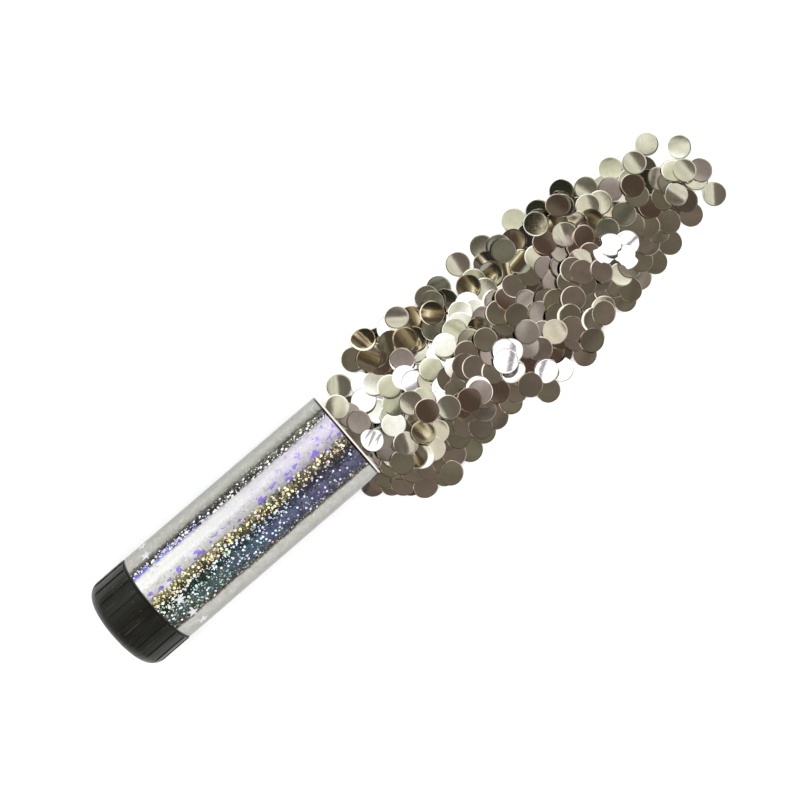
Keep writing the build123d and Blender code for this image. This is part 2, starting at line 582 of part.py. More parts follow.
FAR_DISCS = [
    (240.641, 7.938, 0.04, 0, 0),
    (230.689, 8.093, 0.212, -0.034, 0),
    (225.052, -26.267, 0.04, 0, 0),
    (225.453, -4.332, 0.04, 0, 0),
    (232.397, -22.59, 0.253, 0.0372, 0.0186),
    (226.002, -24.801, 0.699, -0.0604, -0.0151),
    (232.275, -13.933, 0.332, 0.0254, 0.0508),
    (240.471, 8.221, 0.555, 0.034, 0),
    (226.885, -11.632, 0.673, -0.0025, 0.0577),
    (232.287, -13.498, 1.07, 0.1019, 0.0227),
    (211.874, -9.684, 0.04, 0, 0),
    (227.663, -14.944, 1.917, 0.1019, 0.0227),
    (234.576, 12.849, 0.797, -0.0483, 0.1395),
    (208.536, -9.643, 0.38, 0, 0),
    (206.778, 3.473, 0.04, 0, 0),
    (217.559, 4.368, 0.04, 0, 0),
    (220.02, 15.004, 0.04, 0, 0),
    (215.637, -3.438, 0.564, 0.0252, 0.0252),
    (232.064, -0.181, 0.527, 0, -0.0312),
    (205.125, -29.833, 0.267, 0.0453, 0),
    (208.16, -17.459, 0.479, 0, -0.0847),
    (234.128, -23.529, 1.061, 0.1238, -0.0511),
    (222.941, -3.711, 0.876, 0.0011, 0.0091),
    (207.812, -23.753, 0.633, 0.0324, -0.0259),
    (225.584, -19.575, 2.576, 0.1019, 0.0227),
    (216.366, -1.12, 1.124, -0.0341, 0.0267),
    (229.364, 5.697, 1.24, -0.172, 0.0151),
    (213.063, 8.157, 0.704, -0.0603, 0.1064),
    (209.476, -34.826, 3.906, -0.0921, -0.3067),
    (220.101, -29.725, 4.521, 0.0793, -0.2519),
    (230.858, -31.216, 1.119, 0.09, -0.1355),
    (241.216, -28.548, 0.524, 0.0723, -0.0518),
    (239.965, 17.998, 0.722, -0.0028, 0.1277),
    (227.454, 18.072, 0.475, 0.0007, 0.0751),
    (217.747, 21.747, 0.319, 0.0052, 0.0537),
    (205.35, -24.276, 2.047, 0.0985, 0.0718),
    (205.201, -30.34, 2.644, 0.0965, -0.1318),
    (210.7, -34.018, 2.349, 0.0441, -0.078),
    (212.598, -27.325, 2.616, 0.2072, 0.2124),
    (215.03, -21.758, 1.404, 0.1977, 0.1767),
    (219.242, -24.076, 3.159, -0.0573, -0.0843),
    (226.578, -23.644, 3.316, 0.2286, -0.0419),
    (231.205, -24.396, 2.701, 0.202, -0.0273),
    (227.767, -18.442, 3.69, 0.1698, 0.2302),
    (221.852, -15.801, 3.871, -0.2465, 0.3222),
    (234.966, -29.59, 2.106, 0.2023, -0.0873),
    (235.822, -22.729, 2.775, 0.3293, 0.075),
    (240.576, -22.496, 1.828, 0.2611, 0.0782),
    (240.941, 1.311, 1.642, -0.0757, 0.0026),
    (235.864, 4.594, 2.365, 0.062, -0.0394),
    (228.718, 9.127, 2.298, -0.3395, -0.0023),
    (236.019, 13.447, 3.338, 0.1574, 0.1918),
    (234.248, 14.592, 3.898, 0.1346, 0.1692),
    (223.918, 11.456, 1.598, -0.2178, -0.0018),
    (218.192, 13.166, 1.327, -0.0945, 0.0187),
    (212.059, 15.364, 0.945, -0.1588, 0.0426),
    (206.292, 17.453, 0.761, -0.0682, 0.018),
    (208.559, 1.099, 1.554, -0.0094, 0.0047),
    (208.643, 7.44, 1.785, -0.0312, 0.0866),
    (206.461, 15.037, 1.537, -0.0167, 0.0638),
    (214.762, 4.525, 2.245, 0.1434, -0.018),
    (214.635, -1.031, 2.477, 0.1205, -0.1095),
    (213.417, -7.314, 2.186, 0.0488, -0.207),
    (219.973, -4.975, 2.441, 0.2077, -0.0331),
    (206.302, -11.244, 2.018, 0.0151, -0.1993),
    (208.83, -13.723, 2.404, 0.1689, -0.2439),
    (205.504, -18.633, 3.026, 0.0337, -0.105),
    (217.945, -11.329, 3.786, -0.0366, -0.0071),
    (214.575, -17.405, 4.337, -0.1035, 0.0256),
    (208.874, -21.833, 4.156, -0.1212, 0.0151),
    (206.384, -26.143, 4.34, -0.106, 0.0189),
    (224.137, -0.036, 2.481, 0.1285, -0.0238),
    (229.872, -3.253, 2.462, 0.112, -0.1997),
    (220.805, 6.781, 2.883, -0.0029, 0.1592),
    (223.137, 14.772, 2.48, -0.0813, 0.0902),
    (228.735, 4.031, 4.019, -0.0317, 0.0046),
    (234.103, -1.802, 3.355, 0.2171, -0.3251),
    (231.473, -8.698, 2.819, 0.1818, -0.1675),
    (226.443, -8.087, 4.42, -0.0101, 0.0054),
    (221.789, -8.503, 4.731, -0.0124, 0.0098),
    (224.019, -11.764, 5.354, -0.0266, 0.0478),
    (230.273, -16.441, 5.27, 0.3518, -0.042),
    (221.405, -28.157, 3.936, -0.0649, -0.3171),
    (214.894, -29.007, 4.7, 0.1304, -0.2271),
    (236.086, -12.004, 3.422, 0.4023, 0.0573),
    (240.345, -10.95, 3.507, 0.1566, 0.2252),
    (206.371, -5.844, 0.22, -0.0035, -0.0021),
    (238.151, -5.542, 0.244, -0.012, -0.0023),
    (236.51, -18.408, 1.435, 0.1157, -0.0465),
]

TIP_DISCS = [
    (266.061, -4.271, 0.04, 0, 0),
    (277.688, -11.764, 0.04, 0, 0),
    (254.398, 8.365, 0.04, 0, 0),
    (268.546, -6.648, 0.38, 0, 0),
    (245.551, -8.245, 0.04, 0, 0),
    (242.739, -21.014, 0.04, 0, 0),
    (257.012, 1.518, 0.278, 0.0146, -0.0438),
    (256.482, -3.11, 0.479, -0.0073, -0.0584),
    (255.788, -18.608, 0.04, 0, 0),
    (261.076, -7.648, 0.722, -0.0309, -0.0466),
    (251.023, -16.501, 0.38, 0, 0),
    (250.53, -2.375, 0.772, -0.0618, -0.0447),
    (268.885, -1.287, 1.128, 0.0232, 0.0383),
    (260.18, -22.092, 0.347, 0.0424, -0.0424),
    (263.556, -11.707, 0.95, -0.0309, -0.0466),
    (250.277, -27.918, 0.395, 0.0513, -0.024),
    (259.901, -25.898, 0.538, 0.0422, -0.0425),
    (273.992, -22.829, 0.068, -0.004, -0.0037),
    (288.606, -11.799, 0.468, 0.0741, 0.0376),
    (288.4, 0.889, 0.045, 0.0009, 0.0002),
    (278.988, 10.4, 0.4, 0.0435, 0.0507),
    (261.161, 12.158, 0.294, 0.0453, 0.0199),
    (286.551, -22.669, 0.438, 0.0417, -0.061),
    (248.382, 12.479, 0.612, 0.0373, 0.0505),
    (246.036, -23.515, 1.602, 0.1081, 0.0563),
    (252.613, -20.336, 1.356, 0.0502, 0.0613),
    (258.918, -19.237, 1.409, 0.0442, 0.0426),
    (264.623, -19.174, 1.535, 0.0649, 0.0222),
    (256.95, -15.052, 1.781, -0.0482, 0.1222),
    (252.811, -10.599, 1.578, -0.0609, 0.0841),
    (252.961, -5.161, 1.639, -0.0641, 0.0506),
    (262.919, -9.781, 1.952, 0.0461, 0.0709),
    (268.947, -10.393, 1.939, 0.2894, -0.0686),
    (272.982, -3.529, 1.705, 0.2634, -0.0772),
    (275.171, -7.657, 1.617, 0.2027, -0.0235),
    (261.846, -2.886, 2.025, 0.0787, 0.0715),
    (255.569, 6.023, 1.264, -0.0103, 0.0645),
    (248.517, 4.542, 1.539, -0.0993, -0.0399),
    (243.985, 6.626, 1.557, -0.0911, -0.0362),
    (242.626, -3.863, 0.97, -0.047, -0.0787),
    (243.5, -5.847, 1.857, -0.0701, -0.1602),
    (246.188, -14.632, 1.954, -0.0489, 0.0328),
    (242.067, -18.979, 2.98, 0.0713, -0.0882),
    (263.111, 1.157, 1.976, 0.0785, 0.0713),
    (269.858, 7.767, 1.404, 0.0608, 0.0662),
    (274.417, -12.848, 1.985, 0.1734, -0.1157),
    (279.733, -4.938, 1.373, 0.2186, 0.1237),
    (283.242, -7.619, 1.624, 0.1542, 0.1097),
    (269.757, -14.859, 0.226, -0.0069, 0.0077),
    (264.279, 3.313, 0.734, -0.0088, 0.0283),
    (242.48, 11.617, 0.236, 0.0211, 0.0127),
    (285.279, -13.133, 0.303, 0.0236, 0.0325),
    (275.971, -17.165, 0.952, 0.0955, 0.0217),
    (271.616, 3.248, 0.478, -0.01, -0.0316),
]

with BuildPart() as confetti_bore:
    with Locations(disc_places(BORE_DISCS)):
        Cylinder(DISC_R, DISC_T)
confetti_bore.part.label = "confetti_bore"
export_step(confetti_bore.part, "parts/confetti_bore.step")

with BuildPart() as confetti_mouth:
    with Locations(disc_places(MOUTH_DISCS)):
        Cylinder(DISC_R, DISC_T)
confetti_mouth.part.label = "confetti_mouth"
export_step(confetti_mouth.part, "parts/confetti_mouth.step")

with BuildPart() as confetti_near:
    with Locations(disc_places(NEAR_DISCS)):
        Cylinder(DISC_R, DISC_T)
confetti_near.part.label = "confetti_near"
export_step(confetti_near.part, "parts/confetti_near.step")

with BuildPart() as confetti_middle:
    with Locations(disc_places(MIDDLE_DISCS)):
        Cylinder(DISC_R, DISC_T)
confetti_middle.part.label = "confetti_middle"
export_step(confetti_middle.part, "parts/confetti_middle.step")

with BuildPart() as confetti_far:
    with Locations(disc_places(FAR_DISCS)):
        Cylinder(DISC_R, DISC_T)
confetti_far.part.label = "confetti_far"
export_step(confetti_far.part, "parts/confetti_far.step")

with BuildPart() as confetti_tip:
    with Locations(disc_places(TIP_DISCS)):
        Cylinder(DISC_R, DISC_T)
confetti_tip.part.label = "confetti_tip"
export_step(confetti_tip.part, "parts/confetti_tip.step")
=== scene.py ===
import math

import bpy
import numpy as np
from mathutils import Matrix, Vector


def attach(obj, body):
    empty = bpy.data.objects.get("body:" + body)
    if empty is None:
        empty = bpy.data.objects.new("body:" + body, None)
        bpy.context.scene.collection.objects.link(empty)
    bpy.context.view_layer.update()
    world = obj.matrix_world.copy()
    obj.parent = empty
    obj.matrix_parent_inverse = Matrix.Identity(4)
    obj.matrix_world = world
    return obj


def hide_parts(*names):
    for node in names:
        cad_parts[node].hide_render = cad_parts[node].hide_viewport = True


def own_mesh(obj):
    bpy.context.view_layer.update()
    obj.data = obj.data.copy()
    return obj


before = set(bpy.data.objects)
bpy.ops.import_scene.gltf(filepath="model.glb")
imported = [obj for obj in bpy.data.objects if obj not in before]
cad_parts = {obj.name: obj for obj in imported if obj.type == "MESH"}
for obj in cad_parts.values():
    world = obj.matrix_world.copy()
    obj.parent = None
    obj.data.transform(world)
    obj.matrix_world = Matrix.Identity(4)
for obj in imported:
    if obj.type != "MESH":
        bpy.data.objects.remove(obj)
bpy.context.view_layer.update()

# ---------------------------------------------------------------- frame of the part
# Popper stations: x from the base's underside, y from the tube's axis, z from the table, all in mm.
SX, SY, AXIS_Z = -146.798, 7.249, 19.1
MM = 0.001


def place(x, y, z):
    """Popper station in mm to the row frame in metres."""
    return ((x + SX) * MM, (y + SY) * MM, z * MM)


# ---------------------------------------------------------------- camera at the photograph's angle
CAM_AT = np.array([111.385, -3.0134, 470.633])


def rotation(v):
    a = np.array(v, float)
    t = np.linalg.norm(a)
    k = a / t
    K = np.array([[0, -k[2], k[1]], [k[2], 0, -k[0]], [-k[1], k[0], 0]])
    return np.eye(3) + math.sin(t) * K + (1 - math.cos(t)) * K @ K


level = np.array([[0.75561649, -0.65501429, 0.0], [-0.65501429, -0.75561649, 0.0], [0.0, 0.0, -1.0]])
right, down, ahead = rotation((-0.03462075, -0.04049891, 0.00384045)) @ level
cam_data = bpy.data.cameras.new("camera")
cam_data.sensor_width = 36.0
cam_data.lens = 53.55
cam = bpy.data.objects.new("camera", cam_data)
bpy.context.scene.collection.objects.link(cam)
m = Matrix.Identity(4)
for r in range(3):
    m[r][0], m[r][1], m[r][2] = right[r], -down[r], -ahead[r]
    m[r][3] = place(*CAM_AT)[r]
cam.matrix_world = m
cam_data.clip_start, cam_data.clip_end = 0.01, 50
bpy.context.scene.camera = cam


# ---------------------------------------------------------------- node helpers
class Graph:
    def __init__(self, tree):
        self.t = tree
        tree.nodes.clear()

    def node(self, kind, **props):
        n = self.t.nodes.new(kind)
        for k, v in props.items():
            setattr(n, k, v)
        return n

    def put(self, socket, value):
        if isinstance(value, bpy.types.NodeSocket):
            self.t.links.new(value, socket)
        elif isinstance(value, (tuple, list)) and socket.type == "RGBA" and len(value) == 3:
            socket.default_value = (*value, 1.0)
        else:
            socket.default_value = value

    def math(self, op, a, b=None, c=None, clamp=False):
        n = self.node("ShaderNodeMath", operation=op, use_clamp=clamp)
        for i, v in enumerate((a, b, c)):
            if v is not None:
                self.put(n.inputs[i], v)
        return n.outputs[0]

    def add(self, a, b):
        return self.math("ADD", a, b)

    def sub(self, a, b):
        return self.math("SUBTRACT", a, b)

    def mul(self, a, b):
        return self.math("MULTIPLY", a, b)

    def vec(self, op, a, b=None, scale=None):
        n = self.node("ShaderNodeVectorMath", operation=op)
        self.put(n.inputs[0], a)
        if b is not None:
            self.put(n.inputs[1], b)
        if scale is not None:
            self.put(n.inputs["Scale"], scale)
        return n.outputs["Value"] if op in ("DOT_PRODUCT", "LENGTH", "DISTANCE") else n.outputs["Vector"]

    def xyz(self, v):
        n = self.node("ShaderNodeSeparateXYZ")
        self.put(n.inputs[0], v)
        return n.outputs

    def join(self, x, y, z):
        n = self.node("ShaderNodeCombineXYZ")
        for i, v in enumerate((x, y, z)):
            self.put(n.inputs[i], v)
        return n.outputs[0]

    def step(self, v, a, b, lo=0.0, hi=1.0):
        """Smooth step from lo at a to hi at b."""
        n = self.node("ShaderNodeMapRange", interpolation_type="SMOOTHSTEP")
        self.put(n.inputs["Value"], v)
        n.inputs["From Min"].default_value, n.inputs["From Max"].default_value = a, b
        n.inputs["To Min"].default_value, n.inputs["To Max"].default_value = lo, hi
        return n.outputs[0]

    def line(self, v, a, b, lo=0.0, hi=1.0):
        n = self.node("ShaderNodeMapRange", interpolation_type="LINEAR", clamp=True)
        self.put(n.inputs["Value"], v)
        n.inputs["From Min"].default_value, n.inputs["From Max"].default_value = a, b
        n.inputs["To Min"].default_value, n.inputs["To Max"].default_value = lo, hi
        return n.outputs[0]

    def band(self, v, a, b, soft):
        return self.mul(self.step(v, a - soft, a + soft), self.step(v, b - soft, b + soft, 1.0, 0.0))

    def mix(self, f, a, b, blend="MIX"):
        n = self.node("ShaderNodeMix", data_type="RGBA", blend_type=blend)
        self.put(n.inputs["Factor"], f)
        self.put(n.inputs["A"] if n.inputs["A"].type == "RGBA" else n.inputs[6], a)
        self.put(n.inputs[7], b)
        return n.outputs[2]

    def ramp(self, f, stops, interp="LINEAR"):
        n = self.node("ShaderNodeValToRGB")
        n.color_ramp.interpolation = interp
        e = n.color_ramp.elements
        while len(e) > 1:
            e.remove(e[-1])
        e[0].position, e[0].color = stops[0][0], (*stops[0][1], 1)
        for p, c in stops[1:]:
            k = e.new(p)
            k.color = (*c, 1)
        self.put(n.inputs[0], f)
        return n.outputs[0]

    def noise(self, v, scale, detail=2.0, rough=0.5, dims="3D", distortion=0.0):
        n = self.node("ShaderNodeTexNoise", noise_dimensions=dims)
        self.put(n.inputs["Vector"], v)
        n.inputs["Scale"].default_value = scale
        n.inputs["Detail"].default_value = detail
        n.inputs["Roughness"].default_value = rough
        n.inputs["Distortion"].default_value = distortion
        return n.outputs[0]

    def cells(self, v, scale, dims="3D", feature="F1", randomness=1.0):
        n = self.node("ShaderNodeTexVoronoi", voronoi_dimensions=dims, feature=feature)
        self.put(n.inputs["Vector"], v)
        n.inputs["Scale"].default_value = scale
        n.inputs["Randomness"].default_value = randomness
        return n.outputs

    def bump(self, height, strength, distance, normal=None):
        n = self.node("ShaderNodeBump")
        n.inputs["Strength"].default_value = strength
        n.inputs["Distance"].default_value = distance
        self.put(n.inputs["Height"], height)
        if normal is not None:
            self.put(n.inputs["Normal"], normal)
        return n.outputs[0]


def material(name):
    mat = bpy.data.materials.new(name)
    mat.use_nodes = True
    g = Graph(mat.node_tree)
    out = g.node("ShaderNodeOutputMaterial")
    p = g.node("ShaderNodeBsdfPrincipled")
    g.t.links.new(p.outputs[0], out.inputs[0])
    co = g.node("ShaderNodeTexCoord").outputs["Object"]
    return mat, g, p, co


def paint(obj, mat):
    obj.data.materials.clear()
    obj.data.materials.append(mat)


# ---------------------------------------------------------------- holographic glitter film
def film_material():
    mat, g, p, co = material("holographic_film")
    x, y, z = g.xyz(g.vec("SUBTRACT", g.vec("SCALE", co, scale=1000.0), (SX, SY, AXIS_Z)))
    # angle about the tube, cut at the lap seam
    c, s = math.cos(math.radians(130)), math.sin(math.radians(130))
    yr = g.add(g.mul(y, c), g.mul(z, s))
    zr = g.add(g.mul(y, -s), g.mul(z, c))
    turn = g.math("ARCTAN2", zr, yr)
    deg = g.add(g.mul(turn, 57.29578), 40.0)  # from the top line, positive towards -Y
    sheet = g.join(x, g.mul(turn, 18.98), 0.0)

    big = g.noise(sheet, 0.16, 2.0, 0.55, dims="2D")
    patch = g.noise(sheet, 0.34, 3.0, 0.6, dims="2D")
    blot = g.noise(g.vec("MULTIPLY", sheet, (1.0, 1.6, 1.0)), 0.31, 2.0, 0.55, dims="2D")
    wander = g.add(deg, g.mul(g.sub(big, 0.5), 7.0))
    along = g.line(g.add(x, g.mul(g.sub(big, 0.5), 36.0)), 18.7, 111.4)
    low_end = g.step(x, 30.0, 62.0, 1.0, 0.0)  # 1 at the base, 0 from mid-length on

    dots = g.cells(sheet, 0.70, dims="2D")
    fine = g.cells(sheet, 1.40, dims="2D")
    dot = g.step(dots["Distance"], 0.26, 0.44, 1.0, 0.0)
    fleck = g.step(fine["Distance"], 0.22, 0.46, 1.0, 0.0)
    dr, dg_, db = g.xyz(dots["Color"])
    fr, fg_, fb = g.xyz(fine["Color"])

    # ground colour: silver, with the spectral zones a glitter film shows round its highlight painted in as fixed bands
    # by angle about the tube: painted reflection colour
    cool = g.ramp(along, [(0.0, (0.19, 0.26, 0.21)), (0.20, (0.18, 0.32, 0.31)), (0.42, (0.22, 0.38, 0.62)), (0.62, (0.29, 0.35, 0.70)), (0.82, (0.36, 0.36, 0.68)), (1.0, (0.36, 0.37, 0.60))])
    cool_dot = g.ramp(along, [(0.0, (0.80, 0.97, 0.93)), (0.35, (0.66, 0.90, 1.0)), (0.7, (0.72, 0.80, 1.0)), (1.0, (0.88, 0.84, 1.0))])
    gold = g.ramp(along, [(0.0, (0.42, 0.42, 0.27)), (0.6, (0.40, 0.39, 0.29)), (1.0, (0.44, 0.38, 0.40))])
    lilac = g.ramp(along, [(0.0, (0.70, 0.70, 0.67)), (0.40, (0.68, 0.68, 0.68)), (0.7, (0.61, 0.585, 0.645)), (1.0, (0.56, 0.52, 0.615))])
    gold_dot = g.ramp(dr, [(0.0, (1.0, 0.93, 0.62)), (0.35, (1.0, 0.88, 0.46)), (0.6, (1.0, 0.97, 0.86)), (0.8, (0.80, 0.72, 0.40)), (1.0, (0.95, 0.66, 0.42))])
    # colour of a painted dark reflection line beside the highlight: dark at the base end, pale towards the mouth
    dark_line = g.mix(g.line(along, 0.35, 0.85), (0.105, 0.105, 0.09), (0.62, 0.64, 0.48))
    silver = g.mix(g.line(patch, 0.3, 0.7), (0.35, 0.347, 0.322), (0.42, 0.415, 0.387))
    silver = g.mix(g.mul(fleck, g.step(fb, 0.55, 0.95, 0.0, 0.34)), silver, (0.62, 0.615, 0.585))
    silver = g.mix(g.mul(dot, g.step(dg_, 0.62, 0.20, 0.0, 0.22)), silver, (0.22, 0.22, 0.20))
    base, flake = silver, silver
    lively = 0.13  # how far the flakes tilt in each zone
    flash = 0.0  # share of the flakes that face the highlight
    sparse = 0.0  # how far the flakes thin out
    for turn_by in (-137.0, 0.0, 133.0):
        d = g.sub(wander, turn_by)
        z_cool, z_gold = g.band(d, 10.0, 41.0, 2.5), g.band(d, -3.0, 11.0, 2.2)
        z_glow = g.band(d, -32.6, -3.0, 1.8)
        z_dark = g.band(d, -41.0, -32.3, 1.2)
        z_blue = g.mul(g.band(d, -39.0, -30.5, 0.8), g.mul(g.step(blot, 0.44, 0.50), g.line(low_end, 0.0, 1.0, 0.25, 1.0)))
        z_rim = g.band(d, 40.5, 45.0, 2.2)
        z_fade = g.mul(g.step(d, -58.0, -42.0), g.step(d, -41.0, -38.0, 1.0, 0.0))
        z_spot = g.mul(g.band(d, -12.0, -1.0, 2.0), g.step(blot, 0.545, 0.59))
        z_spot = g.math("MAXIMUM", z_spot, g.mul(g.mul(g.band(d, -29.0, -6.0, 2.5), g.step(patch, 0.60, 0.66)), g.line(along, 0.60, 0.80, 0.0, 0.75)))
        sparse = g.add(sparse, g.add(g.mul(z_cool, g.line(along, 0.35, 0.95, 0.0, 0.50)), g.add(g.mul(z_dark, g.line(along, 0.3, 0.9, 0.05, 0.40)), g.mul(z_gold, g.line(along, 0.3, 1.0, 0.10, 0.32)))))
        # fade: the band on the +Y side beyond the dark line, painted darker, more so towards the mouth: painted shade
        base = g.mix(g.mul(z_fade, g.line(along, 0.1, 0.9, 0.45, 1.0)), base, (0.15, 0.155, 0.12))
        # cool zone: painted reflection colour, painted darker towards its -Y edge as painted shade
        base, flake = g.mix(z_cool, base, g.mix(g.line(d, 20.0, 38.0, 0.0, 0.42), cool, (0.05, 0.055, 0.05))), g.mix(z_cool, flake, cool_dot)
        # rim: a dark line painted at the cool zone's -Y edge, with pale flakes: painted dark reflection
        base, flake = g.mix(z_rim, base, (0.055, 0.055, 0.042)), g.mix(z_rim, flake, (1.0, 0.97, 0.84))
        base, flake = g.mix(z_gold, base, gold), g.mix(z_gold, flake, gold_dot)
        # glow: the highlight strip, painted lighter and lilac, lighter still towards its -Y edge: painted highlight
        base, flake = g.mix(z_glow, base, g.mix(1.0, lilac, g.ramp(g.line(d, -18.0, -10.0), [(0.0, (1.0, 1.0, 1.0)), (1.0, (1.10, 1.10, 1.20))]), blend="MULTIPLY")), g.mix(z_glow, flake, (0.80, 0.79, 0.84))
        # dark: the painted dark reflection line on the +Y side of the highlight
        base, flake = g.mix(z_dark, base, dark_line), g.mix(z_dark, flake, (1.0, 0.99, 0.93))
        base = g.mix(z_blue, base, (0.17, 0.18, 0.66))
        base = g.mix(g.mul(z_spot, 0.9), base, (0.24, 0.15, 0.74))
        stir = g.add(g.add(g.mul(z_cool, 0.95), g.mul(z_gold, 0.75)), g.add(g.mul(z_rim, 0.9), g.mul(z_dark, 0.9)))
        lively = g.add(lively, g.add(stir, g.mul(z_glow, -0.11)))
        if turn_by == 0.0:
            flash = g.add(g.add(g.mul(z_gold, 0.95), g.mul(z_cool, g.line(d, 14.0, 36.0, 0.94, 0.80))), g.add(g.mul(z_rim, 0.7), g.mul(g.sub(1.0, z_blue), g.mul(z_dark, g.line(low_end, 0.0, 1.0, 0.30, 0.75)))))
            spot = g.add(g.mul(z_spot, 0.6), g.mul(z_blue, 0.5))
            lean = g.mul(g.band(d, -13.0, 12.0, 5.0), 0.46)  # the embossing carries the highlight on to this side
    zoned = g.line(lively, 0.18, 0.75)
    # dark blotches of the embossing between the flakes
    base = g.mix(g.mul(g.step(patch, 0.56, 0.42), g.mul(zoned, 0.50)), base, (0.085, 0.088, 0.085))
    # flakes: round dots, each with a hue of its own
    hue = g.node("ShaderNodeCombineColor", mode="HSV")
    g.put(hue.inputs[0], dr)
    hue.inputs[1].default_value = 0.50
    hue.inputs[2].default_value = 1.0
    bright = g.mix(g.step(dg_, 0.64, 0.92, 0.0, 0.75), flake, hue.outputs[0])
    lit_dot = g.mul(dot, g.step(g.sub(db, sparse), 0.26, 0.36))
    lit_fleck = g.mul(fleck, g.step(g.sub(fb, g.mul(sparse, 0.7)), 0.50, 0.60))
    plain = g.sub(1.0, g.math("MINIMUM", spot, 0.6))
    base = g.mix(g.mul(g.mul(lit_dot, plain), g.line(zoned, 0.0, 1.0, 0.25, 1.0)), base, bright)
    base = g.mix(g.mul(g.mul(lit_fleck, plain), zoned), base, flake)
    # a dark band over the film's last 0.9 mm at the mouth, and the film darker over its first 0.4 mm at the base
    base = g.mix(g.band(x, 110.62, 111.5, 0.06), base, (0.02, 0.02, 0.02))
    base = g.mix(g.step(x, 18.75, 19.15, 0.8, 0.0), base, (0.05, 0.05, 0.05))
    g.put(p.inputs["Base Color"], base)
    p.inputs["Metallic"].default_value = 1.0
    g.put(p.inputs["Roughness"], g.add(g.mul(dot, -0.05), g.line(big, 0.3, 0.7, 0.14, 0.20)))

    flat = g.node("ShaderNodeNewGeometry").outputs["Normal"]
    big_tilt = g.mul(g.mul(dot, lively), g.step(db, 0.10, 0.85, 0.15, 0.55))
    small_tilt = g.mul(g.mul(fleck, lively), g.step(fb, 0.3, 0.9, 0.10, 0.5))
    tilt = g.vec("SCALE", g.vec("SUBTRACT", dots["Color"], (0.5, 0.5, 0.5)), scale=big_tilt)
    tilt2 = g.vec("SCALE", g.vec("SUBTRACT", fine["Color"], (0.5, 0.5, 0.5)), scale=g.add(small_tilt, 0.03))
    # some of the flakes are stamped to face the highlight's side
    turned = g.math("MINIMUM", g.add(g.mul(flash, g.math("MAXIMUM", lit_dot, g.mul(lit_fleck, 0.9))), g.math("MAXIMUM", spot, lean)), 0.92)
    facing = g.vec("ADD", g.vec("SCALE", flat, scale=g.sub(1.0, turned)), g.vec("SCALE", (0.0, 0.34, 0.94), scale=turned))
    g.put(p.inputs["Normal"], g.vec("NORMALIZE", g.vec("ADD", facing, g.vec("ADD", tilt, tilt2))))
    p.inputs["Specular Tint"].default_value = (0.50, 0.50, 0.49, 1)
    p.inputs["Coat Weight"].default_value = 0.55
    p.inputs["Coat Roughness"].default_value = 0.05
    p.inputs["Coat IOR"].default_value = 1.5
    g.put(p.inputs["Coat Normal"], g.bump(g.noise(sheet, 0.22, 2.0, dims="2D"), 0.25, 0.00012))
    return mat


# ---------------------------------------------------------------- foil discs
def disc_material():
    mat, g, p, co = material("foil_disc")
    # tint: each disc's foil colour, darkened as painted shade for the discs under others and along the crumpled discs'
    # valleys
    tint = g.node("ShaderNodeAttribute", attribute_name="tint").outputs["Color"]
    big = g.noise(co, 380.0, 2.0, 0.5)
    grain = g.noise(co, 2600.0, 2.0, 0.5)
    g.put(p.inputs["Base Color"], g.mix(g.line(big, 0.35, 0.7, 0.0, 0.22), tint, (0.62, 0.58, 0.52)))
    p.inputs["Metallic"].default_value = 1.0
    g.put(p.inputs["Roughness"], g.line(grain, 0.3, 0.7, 0.06, 0.15))
    g.put(p.inputs["Normal"], g.bump(big, 0.12, 0.00012))
    return mat


def plastic_material(name, colour, lighter, rough_lo, rough_hi, grain, scratches, dust=0.0, lines=0.0):
    mat, g, p, co = material(name)
    cloud = g.noise(co, 90.0, 3.0, 0.6)
    fine = g.noise(co, grain, 2.0, 0.6)
    stretched = g.vec("MULTIPLY", co, (120.0, 2600.0, 2600.0))
    brushed = g.noise(stretched, 1.0, 2.0, 0.6)
    base = g.mix(g.line(cloud, 0.3, 0.72), colour, lighter)
    if dust:
        specks = g.cells(co, 620.0)
        speck = g.mul(g.step(specks["Distance"], 0.05, 0.13, 1.0, 0.0), g.step(g.xyz(specks["Color"])[0], 0.80, 0.9))
        base = g.mix(g.mul(speck, dust), base, (0.35, 0.34, 0.32))
    rough = g.add(g.line(cloud, 0.3, 0.7, rough_lo, rough_hi), g.line(fine, 0.3, 0.7, -0.03, 0.03))
    height = g.add(g.mul(fine, 0.5), g.mul(brushed, scratches))
    if lines:
        # lines along the ribs: thin pale ones, painted highlights standing for the rib edges' glints, and broad dull
        # ones
        x, y, z = g.xyz(g.vec("SUBTRACT", g.vec("SCALE", co, scale=1000.0), (SX, SY, AXIS_Z)))
        around = g.mul(g.math("ARCTAN2", y, z), 19.0)
        thin = g.noise(g.join(g.mul(x, 0.07), g.mul(around, 3.4), 3.0), 1.0, 2.0, 0.6)
        broad = g.noise(g.join(g.mul(x, 0.05), g.mul(around, 0.8), 9.0), 1.0, 2.0, 0.5)
        base = g.mix(g.mul(g.step(thin, 0.62, 0.70), lines), base, (0.16, 0.16, 0.145))
        base = g.mix(g.step(broad, 0.52, 0.38, 0.0, 0.55), base, (0.006, 0.006, 0.005))
        rough = g.add(rough, g.line(broad, 0.35, 0.65, 0.06, -0.06))
        height = g.add(height, g.mul(thin, 1.4))
    g.put(p.inputs["Base Color"], base)
    g.put(p.inputs["Roughness"], rough)
    g.put(p.inputs["Normal"], g.bump(height, 0.35, 0.00006))
    p.inputs["IOR"].default_value = 1.48
    p.inputs["Specular IOR Level"].default_value = 0.26
    return mat


